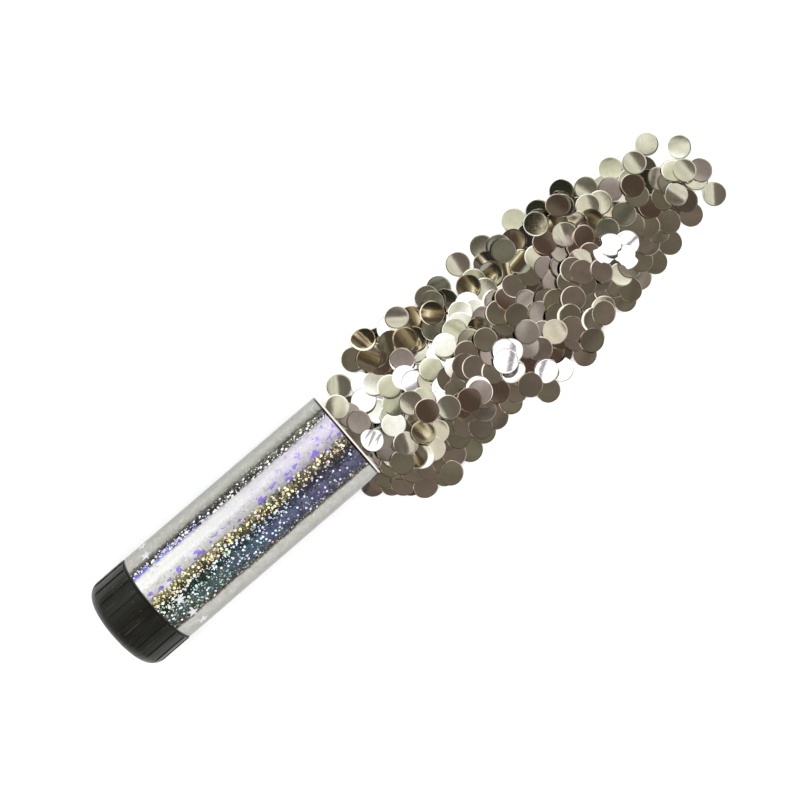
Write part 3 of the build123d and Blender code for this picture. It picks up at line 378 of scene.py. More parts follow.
def board_material(name, colour, fibre, ply, core=None):
    mat, g, p, co = material(name)
    x, y, z = g.xyz(g.vec("SUBTRACT", g.vec("SCALE", co, scale=1000.0), (SX, SY, AXIS_Z)))
    radius = g.math("SQRT", g.add(g.mul(y, y), g.mul(z, z)))
    fibres = g.noise(g.vec("MULTIPLY", co, (900.0, 2600.0, 2600.0)), 1.0, 4.0, 0.65)
    cloud = g.noise(co, 160.0, 3.0)
    plies = g.math("SINE", g.mul(radius, ply))
    base = g.mix(g.line(fibres, 0.3, 0.75), colour, fibre)
    base = g.mix(g.line(cloud, 0.35, 0.75, 0.0, 0.35), base, fibre)
    base = g.mix(g.step(plies, 0.55, 0.95, 0.0, 0.35), base, fibre)
    if core:
        base = g.mix(g.step(radius, 18.10, 18.34, 0.85, 0.0), base, core)
    g.put(p.inputs["Base Color"], base)
    g.put(p.inputs["Roughness"], g.line(fibres, 0.2, 0.8, 0.72, 0.92))
    g.put(p.inputs["Normal"], g.bump(fibres, 0.5, 0.00008))
    p.inputs["Specular IOR Level"].default_value = 0.25
    return mat


def metal_material(name, colour, dull, rough_lo, rough_hi, stretch):
    mat, g, p, co = material(name)
    lines = g.noise(g.vec("MULTIPLY", co, stretch), 1.0, 3.0, 0.6)
    cloud = g.noise(co, 260.0, 3.0)
    g.put(p.inputs["Base Color"], g.mix(g.line(cloud, 0.3, 0.75), colour, dull))
    p.inputs["Metallic"].default_value = 1.0
    g.put(p.inputs["Roughness"], g.line(lines, 0.25, 0.75, rough_lo, rough_hi))
    g.put(p.inputs["Normal"], g.bump(lines, 0.3, 0.00004))
    return mat


def ink_material():
    mat, g, p, co = material("white_ink")
    cloud = g.noise(co, 700.0, 3.0)
    g.put(p.inputs["Base Color"], g.mix(g.line(cloud, 0.3, 0.7), (0.66, 0.66, 0.67), (0.44, 0.44, 0.47)))
    g.put(p.inputs["Roughness"], g.line(cloud, 0.3, 0.7, 0.30, 0.42))
    g.put(p.inputs["Normal"], g.bump(cloud, 0.3, 0.00003))
    return mat


FILM = film_material()
DISC = disc_material()
# the grip's lines: pale lines painted along its ribs as highlights, with broad dull streaks
GRIP = plastic_material("black_plastic_grip", (0.0080, 0.0080, 0.0052), (0.0124, 0.0124, 0.0086), 0.31, 0.43, 3800.0, 0.6, dust=0.30, lines=0.42)
INNER = plastic_material("black_plastic_inner", (0.012, 0.012, 0.012), (0.020, 0.020, 0.020), 0.42, 0.55, 3000.0, 0.2)
GREY = plastic_material("grey_plastic", (0.23, 0.235, 0.24), (0.29, 0.295, 0.30), 0.38, 0.50, 3000.0, 0.3)
BOARD = board_material("paperboard", (0.80, 0.75, 0.70), (0.66, 0.60, 0.54), 17.0, core=(0.40, 0.35, 0.30))
CARD = board_material("wad_card", (0.46, 0.40, 0.33), (0.36, 0.30, 0.23), 0.9)
ZINC = metal_material("zinc_steel", (0.62, 0.63, 0.64), (0.48, 0.49, 0.50), 0.24, 0.40, (900.0, 900.0, 900.0))
SPRING = metal_material("spring_steel", (0.50, 0.50, 0.50), (0.34, 0.33, 0.32), 0.22, 0.38, (1800.0, 400.0, 400.0))
INK = ink_material()

for node, mat in {
    "barrel_tube": BOARD,
    "latch_seat": INNER,
    "twist_base": GRIP,
    "latch_plate": GREY,
    "ejector_post": GREY,
    "piston_cup": GREY,
    "post_screw": ZINC,
    "piston_wad": CARD,
}.items():
    paint(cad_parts[node], mat)


# ---------------------------------------------------------------- mesh helpers
def new_mesh(name, verts, faces, mat, body, *nodes, slot=None, smooth=True):
    me = bpy.data.meshes.new(name)
    me.from_pydata([tuple(v) for v in verts], [], faces)
    me.validate()
    me.polygons.foreach_set("use_smooth", [smooth] * len(me.polygons))
    ob = bpy.data.objects.new(name, me)
    bpy.context.scene.collection.objects.link(ob)
    me.materials.append(mat)
    if nodes:
        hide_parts(*nodes)
    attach(ob, body)
    return ob


def crease(ob, degrees):
    ob.data.set_sharp_from_angle(angle=math.radians(degrees))


# ---------------------------------------------------------------- film on the barrel
def build_film():
    """The film as one closed sheet: outside, inside and both cut edges, with the overlap's step."""
    n_turn, lap_from, lap_to = 360, 292.0, 310.0
    degs = list(np.arange(0.0, 360.0, 360.0 / n_turn))
    degs = sorted(set([round(d, 4) for d in degs] + [lap_from - 0.02, lap_from + 0.12, lap_to - 0.12, lap_to + 0.02]))
    stations = [18.7, 18.78, 19.0] + list(np.linspace(20.0, 110.0, 46)) + [110.6, 110.95, 111.15, 111.27, 111.35]

    def outer(deg, x):
        r = 18.98
        if lap_from + 0.05 <= deg <= lap_to - 0.05:
            r = 19.05
        edge = min(x - 18.7, 111.35 - x)
        if edge < 0.4:
            r -= 0.055 * (1 - edge / 0.4) ** 2
        return r

    verts, faces = [], []
    rows = []
    for x in stations:
        rows.append([])
        for d in degs:
            r = outer(d, x)
            a = math.radians(d)
            rows[-1].append(len(verts))
            verts.append(place(x, r * math.cos(a), AXIS_Z + r * math.sin(a)))
    for x in (111.35, 65.0, 18.7):
        rows.append([])
        for d in degs:
            a = math.radians(d)
            rows[-1].append(len(verts))
            verts.append(place(x, 18.89 * math.cos(a), AXIS_Z + 18.89 * math.sin(a)))
    rows.append(rows[0])
    n = len(degs)
    for a, b in zip(rows, rows[1:]):
        for k in range(n):
            j = (k + 1) % n
            faces.append((a[k], b[k], b[j], a[j]))
    faces = [f[::-1] for f in faces]
    ob = new_mesh("film", verts, faces, FILM, "barrel", "foil_wrap", slot="holographic_film")
    crease(ob, 50)
    return ob


def build_stars():
    """A ring of plain five-point stars printed on the film near its lower end."""
    verts, faces = [], []
    for k in range(16):
        mid = -4.0 + 22.5 * k
        pts = []
        for i in range(10):
            rad = 2.4 if i % 2 == 0 else 1.0
            t = math.radians(36 * i + 8)
            pts.append((rad * math.cos(t), rad * math.sin(t)))
        ring = []
        for (u, v) in pts:  # the ten points, wrapped round the tube below; the edges between them stay straight
            ring.append((u, v))
        loops = []
        for level_r in (18.955, 19.012):
            row = []
            for (u, v) in ring:
                ang = math.radians(90 + mid + math.degrees(v / 18.98))
                row.append(len(verts))
                verts.append(place(27.4 + u, level_r * math.cos(ang), AXIS_Z + level_r * math.sin(ang)))
            ang = math.radians(90 + mid)
            hub = len(verts)
            verts.append(place(27.4, level_r * math.cos(ang), AXIS_Z + level_r * math.sin(ang)))
            loops.append((row, hub))
        (low, low_hub), (high, high_hub) = loops
        for i in range(10):
            j = (i + 1) % 10
            faces.append((high[i], high[j], high_hub))
            faces.append((low[j], low[i], low_hub))
            faces.append((low[i], low[j], high[j], high[i]))
    ob = new_mesh("star_ring", verts, faces, INK, "barrel", slot="holographic_film", smooth=False)
    return ob


# ---------------------------------------------------------------- drive spring
def build_spring():
    wire, coil_r, turns = 0.6, 11.0, 8
    x0, x1 = 19.6 + wire + 0.03, 83.1 - wire - 0.03
    per, sides = 56, 12
    verts, faces = [], []
    steps = turns * per
    slope = (x1 - x0) / (turns * 2 * math.pi)
    for i in range(steps + 1):
        t = 2 * math.pi * i / per
        centre = np.array([x0 + slope * t, coil_r * math.cos(t), AXIS_Z + coil_r * math.sin(t)])
        tangent = np.array([slope, -coil_r * math.sin(t), coil_r * math.cos(t)])
        tangent /= np.linalg.norm(tangent)
        out = np.array([0, math.cos(t), math.sin(t)])
        side = np.cross(tangent, out)
        for k in range(sides):
            a = 2 * math.pi * k / sides
            verts.append(place(*(centre + wire * (math.cos(a) * out + math.sin(a) * side))))
    for i in range(steps):
        for k in range(sides):
            j = (k + 1) % sides
            a, b = i * sides, (i + 1) * sides
            faces.append((a + k, a + j, b + j, b + k))
    faces.append(tuple(range(sides))[::-1])
    faces.append(tuple(steps * sides + k for k in range(sides)))
    ob = new_mesh("coil_spring", verts, faces, SPRING, "barrel", "drive_spring", slot="spring_steel")
    crease(ob, 50)
    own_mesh(ob)
    return ob


# ---------------------------------------------------------------- foil discs
# One row per disc: centre and upward normal (x, y, z, nx, ny), then how it lies to the light:
# T flat, W towards the window, L, P and G to the sides, D away, H and K curled half over, B under others.
# A second letter marks a lip turned up to the window, by its side: n, e, s or w, as a capital where it is thin.
DISCS = {
    "bore": [
        (94.842, -6.536, 3.824, 0, 0.3877, "B"),
        (106.737, -2.316, 2.666, 0, 0.1417, "B"),
        (106.022, -2.366, 3.014, 0, 0.1417, "B"),
        (103.523, 0.033, 3.132, 0, 0.1178, "B"),
        (99.406, 7.972, 5.1, 0, -0.4024, "B"),
        (97.943, 2.22, 4.426, 0, -0.1306, "B"),
        (101.612, -1.927, 4.51, 0.0605, -0.0868, "B"),
        (107.935, 3.747, 4.394, 0.255, -0.0171, "B"),
        (96.493, -4.418, 5.354, 0, 0.0016, "B"),
        (95.673, -1.403, 5.689, 0, 0.0016, "B"),
        (96.37, 2, 6.024, 0, 0.0016, "B"),
        (94.278, -1.033, 6.369, 0, 0.0016, "B"),
        (97.071, 5.95, 6.767, 0, -0.0121, "B"),
        (99.996, 5.175, 7.098, 0, -0.0121, "B"),
        (99.425, -5.791, 6.304, 0.2274, -0.1121, "B"),
        (101.251, 1.183, 7.546, 0.0558, -0.0307, "B"),
        (92.644, -3.905, 7.478, -0.2347, -0.0354, "B"),
        (101.582, -4, 8.106, 0.2719, -0.2485, "B"),
        (96.405, -4.23, 9.779, -0.3657, -0.1783, "B"),
        (97.277, -2.22, 10.868, -0.3657, -0.1783, "B"),
        (93.316, 1.185, 10.381, -0.4677, 0.0408, "B"),
        (92.955, 0.631, 10.566, -0.4677, 0.0408, "B"),
    ],
    "mouth": [
        (106.741, -21.322, 0.092, -0.0101, 0, "T"),
        (110.417, -21.876, 0.514, -0.0133, 0.0082, "T"),
        (112.673, -25.886, 0.938, -0.0002, 0.0026, "T"),
        (113.02, -22.516, 1.294, -0.0018, -0.0019, "T"),
        (136.755, -14.764, 0.04, 0, 0, "G"),
        (126.291, -5.085, 0.04, 0, 0, "D"),
        (118.266, -30.766, 0.898, 0.1183, -0.116, "B"),
        (138.157, 13.532, 0.04, 0, 0, "B"),
        (125.73, -19.3, 0.04, 0, 0, "B"),
        (132.154, -21.268, 0.38, 0, 0, "B"),
        (114.477, 7.493, 4.664, 0.3879, -0.1154, "M"),
        (134.265, -3.348, 0.255, 0.0406, 0.0101, "B"),
        (140.18, 14.305, 0.38, 0, 0, "B"),
        (126.879, -0.7, 0.574, -0.0592, 0.085, "V"),
        (131.124, -5.132, 1.293, 0.1071, -0.0814, "B"),
        (114, 0.636, 4.145, 0.3108, -0.2562, "T"),
        (125.014, -24.616, 1.142, 0.0794, 0.0198, "B"),
        (124.934, -28.561, 1.567, 0.0794, 0.0198, "B"),
        (119.745, -23.224, 1.986, 0.0099, 0.0892, "B"),
        (128.564, -32.529, 1.633, 0.2606, -0.1659, "B"),
        (136.973, -2.114, 1.487, 0.0753, -0.0376, "B"),
        (113.619, -6.72, 4.91, 0.2917, 0.1211, "T"),
        (115.979, -28.842, 2.467, -0.1002, -0.1323, "T"),
        (121.849, -35.577, 2.234, -0.1201, -0.3448, "T"),
        (130.543, -36.454, 1.951, 0.3261, -0.1641, "T"),
        (132.943, -38.311, 3.497, 0.0856, -0.3601, "T"),
        (114.415, 3.613, 5.284, 0.292, -0.2425, "M"),
        (114.22, -2.838, 5.268, 0.2992, -0.0067, "T"),
        (140.754, 24.388, 2.109, 0.1723, 0.3403, "Os"),
        (132.764, 21.037, 0.85, -0.1343, -0.0785, "GW"),
        (121.748, 16.65, 0.043, -0.0001, 0.0006, "H"),
        (115.748, 10.678, 7.147, 0.3255, -0.0592, "F"),
        (119.061, -23.171, 3.399, 0.0754, 0.1724, "T"),
        (122.302, -27.661, 4.248, 0.1188, 0.1072, "T"),
        (127.816, -30.825, 4.055, 0.2563, 0.0145, "T"),
        (133.295, -33.024, 2.906, 0.3213, -0.0182, "T"),
        (138.841, -33.106, 2.376, 0.1431, -0.0541, "T"),
        (140.224, -26.514, 2.41, 0.1179, 0.2603, "T"),
        (117.383, 5.188, 5.416, 0.3617, -0.1324, "M"),
        (118.301, 0.798, 4.942, 0.3527, -0.1043, "M"),
        (129.685, 11.109, 0.386, -0.0125, -0.0544, "W"),
        (125.461, 6.108, 1.04, 0.0724, 0.0371, "W"),
        (132.993, 8.38, 0.97, 0.0512, -0.0002, "V"),
        (139.896, 13.393, 1.504, -0.0064, -0.0904, "R"),
        (140.493, 16.517, 2.137, -0.0053, -0.0886, "N"),
        (137.576, 17.06, 2.518, -0.0067, -0.0865, "O"),
        (124.73, -13.941, 0.515, 0.0219, 0.0162, "T"),
        (117.594, -12.075, 0.69, -0.1052, 0.0461, "M"),
        (117.528, -15.448, 2.363, -0.0008, 0.242, "M"),
        (118.161, -19.718, 3.772, -0.0008, 0.2404, "T"),
        (117.209, -20.625, 4.38, -0.0013, 0.2307, "T"),
        (120.026, -17.962, 4.1, -0.0009, 0.2299, "D"),
        (120.254, -14.771, 3.845, 0.0048, 0.2012, "M"),
        (120.534, -10.004, 3.215, 0.0051, 0.1998, "M"),
        (117.911, -7.808, 5.004, 0.24, -0.0631, "C"),
        (129.842, -5.64, 2.067, 0.0281, -0.0864, "F"),
        (128.048, -9.024, 3.251, 0.1797, 0.0672, "V"),
        (133.924, -2.683, 2.566, 0.1245, -0.0044, "F"),
        (136.796, 3.555, 2.262, 0.1772, 0.1622, "F"),
        (138.839, -6.887, 3.486, -0.1099, -0.0449, "H"),
        (139.353, -22.043, 2.501, -0.108, 0.306, "P"),
        (133.674, -26.096, 4.128, 0.0105, 0.3073, "P"),
        (128.432, -25.643, 4.633, 0.049, 0.2917, "V"),
        (126.485, -23.517, 5.3, 0.1275, 0.15, "O"),
        (120.776, -22.169, 6.017, -0.0781, 0.1983, "T"),
        (126.752, -17.467, 5.42, 0.1752, 0.2497, "H"),
        (134.959, -18.781, 3.969, 0.3436, 0.2169, "O"),
        (141.525, -13.34, 3.645, -0.0781, -0.1408, "R"),
        (119.663, 7.155, 0.394, -0.032, -0.0077, "B"),
        (128.415, -11.787, 2.311, 0.0483, 0.0232, "B"),
        (138.735, 4.068, 0.443, -0.0107, 0.0508, "B"),
        (117.563, -1.249, 0.593, -0.0145, -0.001, "B"),
    ],
    "near": [
        (154.898, 15.854, 0.04, 0, 0, "B"),
        (146.794, 5.637, 0.04, 0, 0, "V"),
        (151.848, -21.184, 0.04, 0, 0, "B"),
        (151.087, -6.9, 0.04, 0, 0, "B"),
        (160.479, -18.279, 0.232, 0.0351, 0.0117, "B"),
        (165.806, -3.744, 0.04, 0, 0, "B"),
        (146.426, -1.969, 0.38, 0, 0, "B"),
        (164.859, -28.995, 0.04, 0, 0, "B"),
        (152.176, -28.268, 0.28, 0, -0.0468, "B"),
        (158.971, 7.748, 0.231, 0.0168, -0.0336, "V"),
        (164.118, -29.954, 0.38, 0, 0, "B"),
        (155.094, 5.593, 0.564, 0.0168, -0.0336, "V"),
        (165.215, 10.104, 0.442, 0.0775, -0.0031, "B"),
        (166.335, -23.004, 0.61, 0.0262, 0.0473, "B"),
        (171.808, -4.131, 2.025, -0.0406, 0.0829, "B"),
        (145.488, -25.48, 0.528, -0.0949, 0.0008, "B"),
        (166.787, 9.067, 0.657, 0.0775, -0.0031, "B"),
        (150.715, 13.439, 0.739, -0.12, 0.0636, "B"),
        (151.748, -29.777, 0.975, 0.0701, -0.109, "B"),
        (156.709, -8.344, 0.38, 0, 0, "B"),
        (143.723, -4.975, 0.72, 0, 0, "B"),
        (154.146, 7.655, 1.479, 0.0166, -0.1298, "V"),
        (162.562, 14.696, 1, -0.0223, 0.1458, "B"),
        (168.418, 16.162, 1.119, 0.1497, 0.1442, "B"),
        (144.779, -36.2, 0.781, -0.0543, -0.1157, "T"),
        (153.53, -34.07, 1.096, 0.1406, -0.0911, "T"),
        (160.968, -33.089, 1.025, 0.046, -0.0411, "T"),
        (169.287, -32.354, 0.777, 0.1295, -0.0593, "T"),
        (171.002, 20.601, 1.094, 0.0557, 0.0523, "T"),
        (160.539, 18.749, 1.401, -0.1063, 0.2254, "O"),
        (156.54, 22.393, 2.691, 0.1464, 0.361, "H"),
        (145.198, 20.565, 0.559, 0.0208, 0.0906, "O"),
        (144.394, -29.127, 3.149, 0.1118, 0.1944, "T"),
        (145.548, -23.337, 2.134, 0.1063, 0.2839, "T"),
        (149.323, -27.765, 3.202, 0.2473, 0.0504, "T"),
        (153.475, -31.925, 2.814, 0.2339, 0.0086, "T"),
        (154.105, -23.977, 2.383, 0.2333, 0.1905, "T"),
        (159.288, -27.46, 2.448, 0.2089, 0.0882, "T"),
        (162.088, -23.773, 1.983, 0.1862, 0.0822, "T"),
        (168.126, -25.868, 1.913, 0.0781, 0.0805, "R"),
        (171.048, 17.93, 2.146, -0.019, 0.1126, "G"),
        (142.438, 12.59, 1.09, -0.009, -0.0896, "T"),
        (148.367, 16.314, 2.217, 0.1125, -0.0493, "N"),
        (152.4, 11.275, 2.376, 0.0069, -0.1314, "O"),
        (156.366, 11.455, 2.738, 0.0049, -0.1271, "O"),
        (153.505, 13.81, 3.424, -0.0099, -0.125, "O"),
        (147.187, 8.222, 2.251, -0.1593, -0.265, "Ms"),
        (143.509, 2.498, 2.389, 0.1126, -0.0141, "W"),
        (144.964, -1.421, 2.656, 0.0959, 0.0087, "X"),
        (149.86, -5.151, 2.358, 0.2311, -0.1102, "L"),
        (159.616, 0.266, 1.1, 0.1165, -0.0403, "W"),
        (153.671, -1.935, 2.473, 0.1824, -0.0725, "F"),
        (152.43, -10.885, 1.905, 0.1258, -0.1924, "W"),
        (147.424, -14.19, 2.234, 0.0489, -0.1979, "W"),
        (156.743, -9.205, 2.098, 0.1158, -0.182, "T"),
        (161.821, -7.836, 2.075, 0.2791, -0.1186, "V"),
        (160.619, -12.99, 2.161, 0.2148, -0.208, "T"),
        (155.59, -15.402, 3.081, 0.0796, -0.2271, "T"),
        (143.173, -8.786, 3.497, -0.1352, -0.0528, "L"),
        (164.772, 9.745, 2.415, 0.1262, -0.2251, "GS"),
        (168.22, 14.519, 3.552, 0.1082, 0.1085, "OW"),
        (170.489, 3.525, 3.128, -0.0271, 0.0992, "F"),
        (163.759, 1.746, 3.256, -0.1377, 0.0758, "V"),
        (168.224, -6.321, 4.366, -0.1625, -0.1277, "T"),
        (164.38, -9.55, 4.078, -0.0806, -0.135, "T"),
        (166.872, -12.675, 4.203, -0.0798, -0.1336, "TW"),
        (171.688, -18.594, 3.426, 0.1141, -0.316, "TW"),
        (162.69, -19.826, 3.913, -0.1343, -0.1311, "W"),
        (162.335, -21.314, 4.112, -0.1216, -0.1163, "ME"),
        (153.089, -20.409, 3.995, -0.054, 0.0286, "R"),
        (156.889, -20.982, 4.674, -0.001, -0.0109, "R"),
        (148.809, -17.807, 4.087, -0.2616, 0.0973, "H"),
        (151.625, 21.03, 1.468, -0.0029, -0.0054, "W"),
    ],
    "middle": [
        (197.632, -30.246, 0.04, 0, 0, "B"),
        (195.12, 5.035, 0.04, 0, 0, "V"),
        (182.468, -18.306, 0.04, 0, 0, "B"),
        (176.239, -14.955, 0.286, -0.0425, 0.0212, "B"),
        (184.177, -31.409, 0.04, 0, 0, "B"),
        (185.856, -15.469, 0.482, 0.083, 0.0214, "B"),
        (174.097, -4.743, 0.247, 0.0412, 0, "B"),
        (195.487, -7.936, 0.04, 0, 0, "B"),
        (172.49, -0.38, 0.654, 0.0412, 0, "B"),
        (186.394, 0.093, 0.214, -0.0302, -0.0151, "B"),
        (181.11, -2.379, 0.686, 0.0354, -0.0151, "B"),
        (192.152, -20.664, 0.429, 0.0779, 0, "B"),
        (189.063, -22.756, 1.011, 0.0779, 0, "B"),
        (198.529, -11.599, 0.551, -0.0324, -0.0081, "B"),
        (172.371, -0.646, 1.215, -0.0022, 0, "B"),
        (177.245, -7.708, 1.223, 0.0525, -0.082, "B"),
        (174.085, -11.526, 1.415, 0.0525, -0.082, "B"),
        (194.479, -27.12, 0.88, 0.0958, -0.0192, "B"),
        (192.456, -9.26, 0.733, -0.0289, -0.0064, "B"),
        (188.626, 7.388, 0.492, -0.0188, 0.0855, "B"),
        (174.968, 8.865, 0.844, 0.0659, 0.1409, "V"),
        (195.693, -14.16, 1.083, 0.0031, -0.0703, "B"),
        (195.063, -9.458, 1.757, 0.0031, -0.0703, "B"),
        (177.124, -2.2, 2.299, 0.1752, 0.1526, "B"),
        (200.472, -25.517, 1.114, 0.0111, -0.0259, "B"),
        (173.755, -30.322, 0.759, 0.112, -0.0503, "T"),
        (182.859, -32.412, 0.535, 0.022, -0.0206, "T"),
        (183.759, -38.62, 0.642, 0.0187, -0.0949, "T"),
        (193.329, -35.732, 0.849, 0.0788, -0.1069, "W"),
        (204.36, -37.228, 0.835, 0.0492, -0.1476, "T"),
        (201.201, 21.718, 0.041, -0.0001, 0.0002, "G"),
        (189.335, 22.819, 0.048, 0.0013, 0.0007, "H"),
        (177.24, 20.493, 0.323, 0.0452, 0.0318, "G"),
        (178.977, -26.665, 1.168, 0.0234, -0.0296, "T"),
        (184.962, -25.597, 1.737, -0.0184, -0.01, "R"),
        (195.222, -27.542, 1.866, -0.0357, 0.0249, "R"),
        (200.505, -25.589, 2.281, 0.0992, 0.0727, "R"),
        (197.917, 15.838, 0.507, -0.0892, -0.0029, "N"),
        (196.568, 11.386, 0.984, -0.0516, 0.0334, "N"),
        (189.507, 13.774, 0.807, -0.0851, 0.0343, "F"),
        (190.513, 7.988, 1.406, -0.0716, -0.0055, "F"),
        (186.504, 13.345, 1.291, -0.1696, 0.0868, "N"),
        (175.693, 14.901, 1.223, 0.124, -0.0303, "D"),
        (181.549, 8.118, 1.737, -0.0723, 0.0515, "V"),
        (181.764, 4.397, 2.289, -0.0719, 0.052, "V"),
        (177.077, 7.377, 2.177, -0.0643, 0.0492, "V"),
        (174.019, 4.123, 2.817, -0.0297, 0.1007, "V"),
        (189.79, 2.105, 2.408, 0.2078, -0.2287, "Mw"),
        (182.527, -0.421, 3.409, 0.0164, -0.1906, "M"),
        (178.279, -2.38, 3.94, 0.0496, -0.1013, "N"),
        (172.422, -3.521, 4.36, -0.0631, -0.1335, "G"),
        (173.563, -7.018, 4.308, -0.0626, -0.1324, "G"),
        (175.435, -12.831, 4.84, 0.2076, -0.1273, "M"),
        (177.292, -7.202, 5.439, 0.2194, -0.0124, "T"),
        (187.459, -7.291, 2.635, -0.0089, -0.1395, "T"),
        (188.131, -2.257, 3.866, 0.0486, -0.068, "TW"),
        (194.501, -0.35, 3.528, 0.3415, 0.1022, "R"),
        (200.326, 1.677, 1.903, 0.2768, 0.0913, "TS"),
        (200.069, -6.436, 2.562, 0.2889, -0.1042, "M"),
        (193.229, -8.063, 4.252, -0.0763, -0.3183, "T"),
        (200.786, -13.191, 2.854, 0.0755, -0.3637, "M"),
        (196.668, -19.999, 3.195, -0.1392, 0.0204, "M"),
        (200.438, -22.648, 4.123, -0.1379, 0.0206, "P"),
        (191.653, -24.052, 3.114, -0.1766, 0.0084, "T"),
        (188.384, -19.652, 2.899, -0.192, 0.1633, "M"),
        (192.028, -15.526, 4, -0.1511, 0.0324, "M"),
        (182.155, -17.106, 3.94, 0.0662, -0.1188, "W"),
        (180.086, -15.404, 4.984, 0.1123, -0.1547, "X"),
        (177.738, -23.845, 3.462, -0.0348, -0.3468, "X"),
        (177.767, -18.587, 5.636, -0.0373, -0.1219, "X"),
        (187.923, -32.287, 2.575, -0.0953, -0.1792, "X"),
        (179.545, -32.347, 2.095, -0.1252, -0.1338, "T"),
        (202.997, 10.392, 0.211, -0.0061, 0.0057, "N"),
        (179.395, -11.056, 1.699, 0.0804, -0.0778, "B"),
    ],
    "far": [
        (240.641, 7.938, 0.04, 0, 0, "B"),
        (230.689, 8.093, 0.212, -0.034, 0, "B"),
        (225.052, -26.267, 0.04, 0, 0, "B"),
        (225.453, -4.332, 0.04, 0, 0, "B"),
        (232.397, -22.59, 0.253, 0.0372, 0.0186, "B"),
        (226.002, -24.801, 0.699, -0.0604, -0.0151, "B"),
        (232.275, -13.933, 0.332, 0.0254, 0.0508, "B"),
        (240.471, 8.221, 0.555, 0.034, 0, "D"),
        (226.885, -11.632, 0.673, -0.0025, 0.0577, "B"),
        (232.287, -13.498, 1.07, 0.1019, 0.0227, "B"),
        (211.874, -9.684, 0.04, 0, 0, "B"),
        (227.663, -14.944, 1.917, 0.1019, 0.0227, "B"),
        (234.576, 12.849, 0.797, -0.0483, 0.1395, "B"),
        (208.536, -9.643, 0.38, 0, 0, "B"),
        (206.778, 3.473, 0.04, 0, 0, "D"),
        (217.559, 4.368, 0.04, 0, 0, "B"),
        (220.02, 15.004, 0.04, 0, 0, "B"),
        (215.637, -3.438, 0.564, 0.0252, 0.0252, "B"),
        (232.064, -0.181, 0.527, 0, -0.0312, "B"),
        (205.125, -29.833, 0.267, 0.0453, 0, "B"),
        (208.16, -17.459, 0.479, 0, -0.0847, "B"),
        (234.128, -23.529, 1.061, 0.1238, -0.0511, "B"),
        (222.941, -3.711, 0.876, 0.0011, 0.0091, "B"),
        (207.812, -23.753, 0.633, 0.0324, -0.0259, "B"),
        (225.584, -19.575, 2.576, 0.1019, 0.0227, "B"),
        (216.366, -1.12, 1.124, -0.0341, 0.0267, "B"),
        (229.364, 5.697, 1.24, -0.172, 0.0151, "B"),
        (213.063, 8.157, 0.704, -0.0603, 0.1064, "B"),
        (209.476, -34.826, 3.906, -0.0921, -0.3067, "T"),
        (220.101, -29.725, 4.521, 0.0793, -0.2519, "T"),
        (230.858, -31.216, 1.119, 0.09, -0.1355, "T"),
        (241.216, -28.548, 0.524, 0.0723, -0.0518, "G"),
        (239.965, 17.998, 0.722, -0.0028, 0.1277, "D"),
        (227.454, 18.072, 0.475, 0.0007, 0.0751, "D"),
        (217.747, 21.747, 0.319, 0.0052, 0.0537, "L"),
        (205.35, -24.276, 2.047, 0.0985, 0.0718, "T"),
        (205.201, -30.34, 2.644, 0.0965, -0.1318, "T"),
        (210.7, -34.018, 2.349, 0.0441, -0.078, "T"),
        (212.598, -27.325, 2.616, 0.2072, 0.2124, "T"),
        (215.03, -21.758, 1.404, 0.1977, 0.1767, "T"),
        (219.242, -24.076, 3.159, -0.0573, -0.0843, "T"),
        (226.578, -23.644, 3.316, 0.2286, -0.0419, "TW"),
        (231.205, -24.396, 2.701, 0.202, -0.0273, "T"),
        (227.767, -18.442, 3.69, 0.1698, 0.2302, "T"),
        (221.852, -15.801, 3.871, -0.2465, 0.3222, "T"),
        (234.966, -29.59, 2.106, 0.2023, -0.0873, "T"),
        (235.822, -22.729, 2.775, 0.3293, 0.075, "F"),
        (240.576, -22.496, 1.828, 0.2611, 0.0782, "G"),
        (240.941, 1.311, 1.642, -0.0757, 0.0026, "N"),
        (235.864, 4.594, 2.365, 0.062, -0.0394, "N"),
        (228.718, 9.127, 2.298, -0.3395, -0.0023, "N"),
        (236.019, 13.447, 3.338, 0.1574, 0.1918, "D"),
        (234.248, 14.592, 3.898, 0.1346, 0.1692, "R"),
        (223.918, 11.456, 1.598, -0.2178, -0.0018, "N"),
        (218.192, 13.166, 1.327, -0.0945, 0.0187, "D"),
        (212.059, 15.364, 0.945, -0.1588, 0.0426, "N"),
        (206.292, 17.453, 0.761, -0.0682, 0.018, "G"),
        (208.559, 1.099, 1.554, -0.0094, 0.0047, "Tn"),
        (208.643, 7.44, 1.785, -0.0312, 0.0866, "N"),
        (206.461, 15.037, 1.537, -0.0167, 0.0638, "G"),
        (214.762, 4.525, 2.245, 0.1434, -0.018, "F"),
        (214.635, -1.031, 2.477, 0.1205, -0.1095, "M"),
        (213.417, -7.314, 2.186, 0.0488, -0.207, "M"),
        (219.973, -4.975, 2.441, 0.2077, -0.0331, "M"),
        (206.302, -11.244, 2.018, 0.0151, -0.1993, "T"),
        (208.83, -13.723, 2.404, 0.1689, -0.2439, "T"),
        (205.504, -18.633, 3.026, 0.0337, -0.105, "T"),
        (217.945, -11.329, 3.786, -0.0366, -0.0071, "T"),
        (214.575, -17.405, 4.337, -0.1035, 0.0256, "TW"),
        (208.874, -21.833, 4.156, -0.1212, 0.0151, "Tw"),
        (206.384, -26.143, 4.34, -0.106, 0.0189, "T"),
        (224.137, -0.036, 2.481, 0.1285, -0.0238, "M"),
        (229.872, -3.253, 2.462, 0.112, -0.1997, "R"),
        (220.805, 6.781, 2.883, -0.0029, 0.1592, "R"),
        (223.137, 14.772, 2.48, -0.0813, 0.0902, "DS"),
        (228.735, 4.031, 4.019, -0.0317, 0.0046, "H"),
        (234.103, -1.802, 3.355, 0.2171, -0.3251, "R"),
        (231.473, -8.698, 2.819, 0.1818, -0.1675, "R"),
        (226.443, -8.087, 4.42, -0.0101, 0.0054, "H"),
        (221.789, -8.503, 4.731, -0.0124, 0.0098, "TW"),
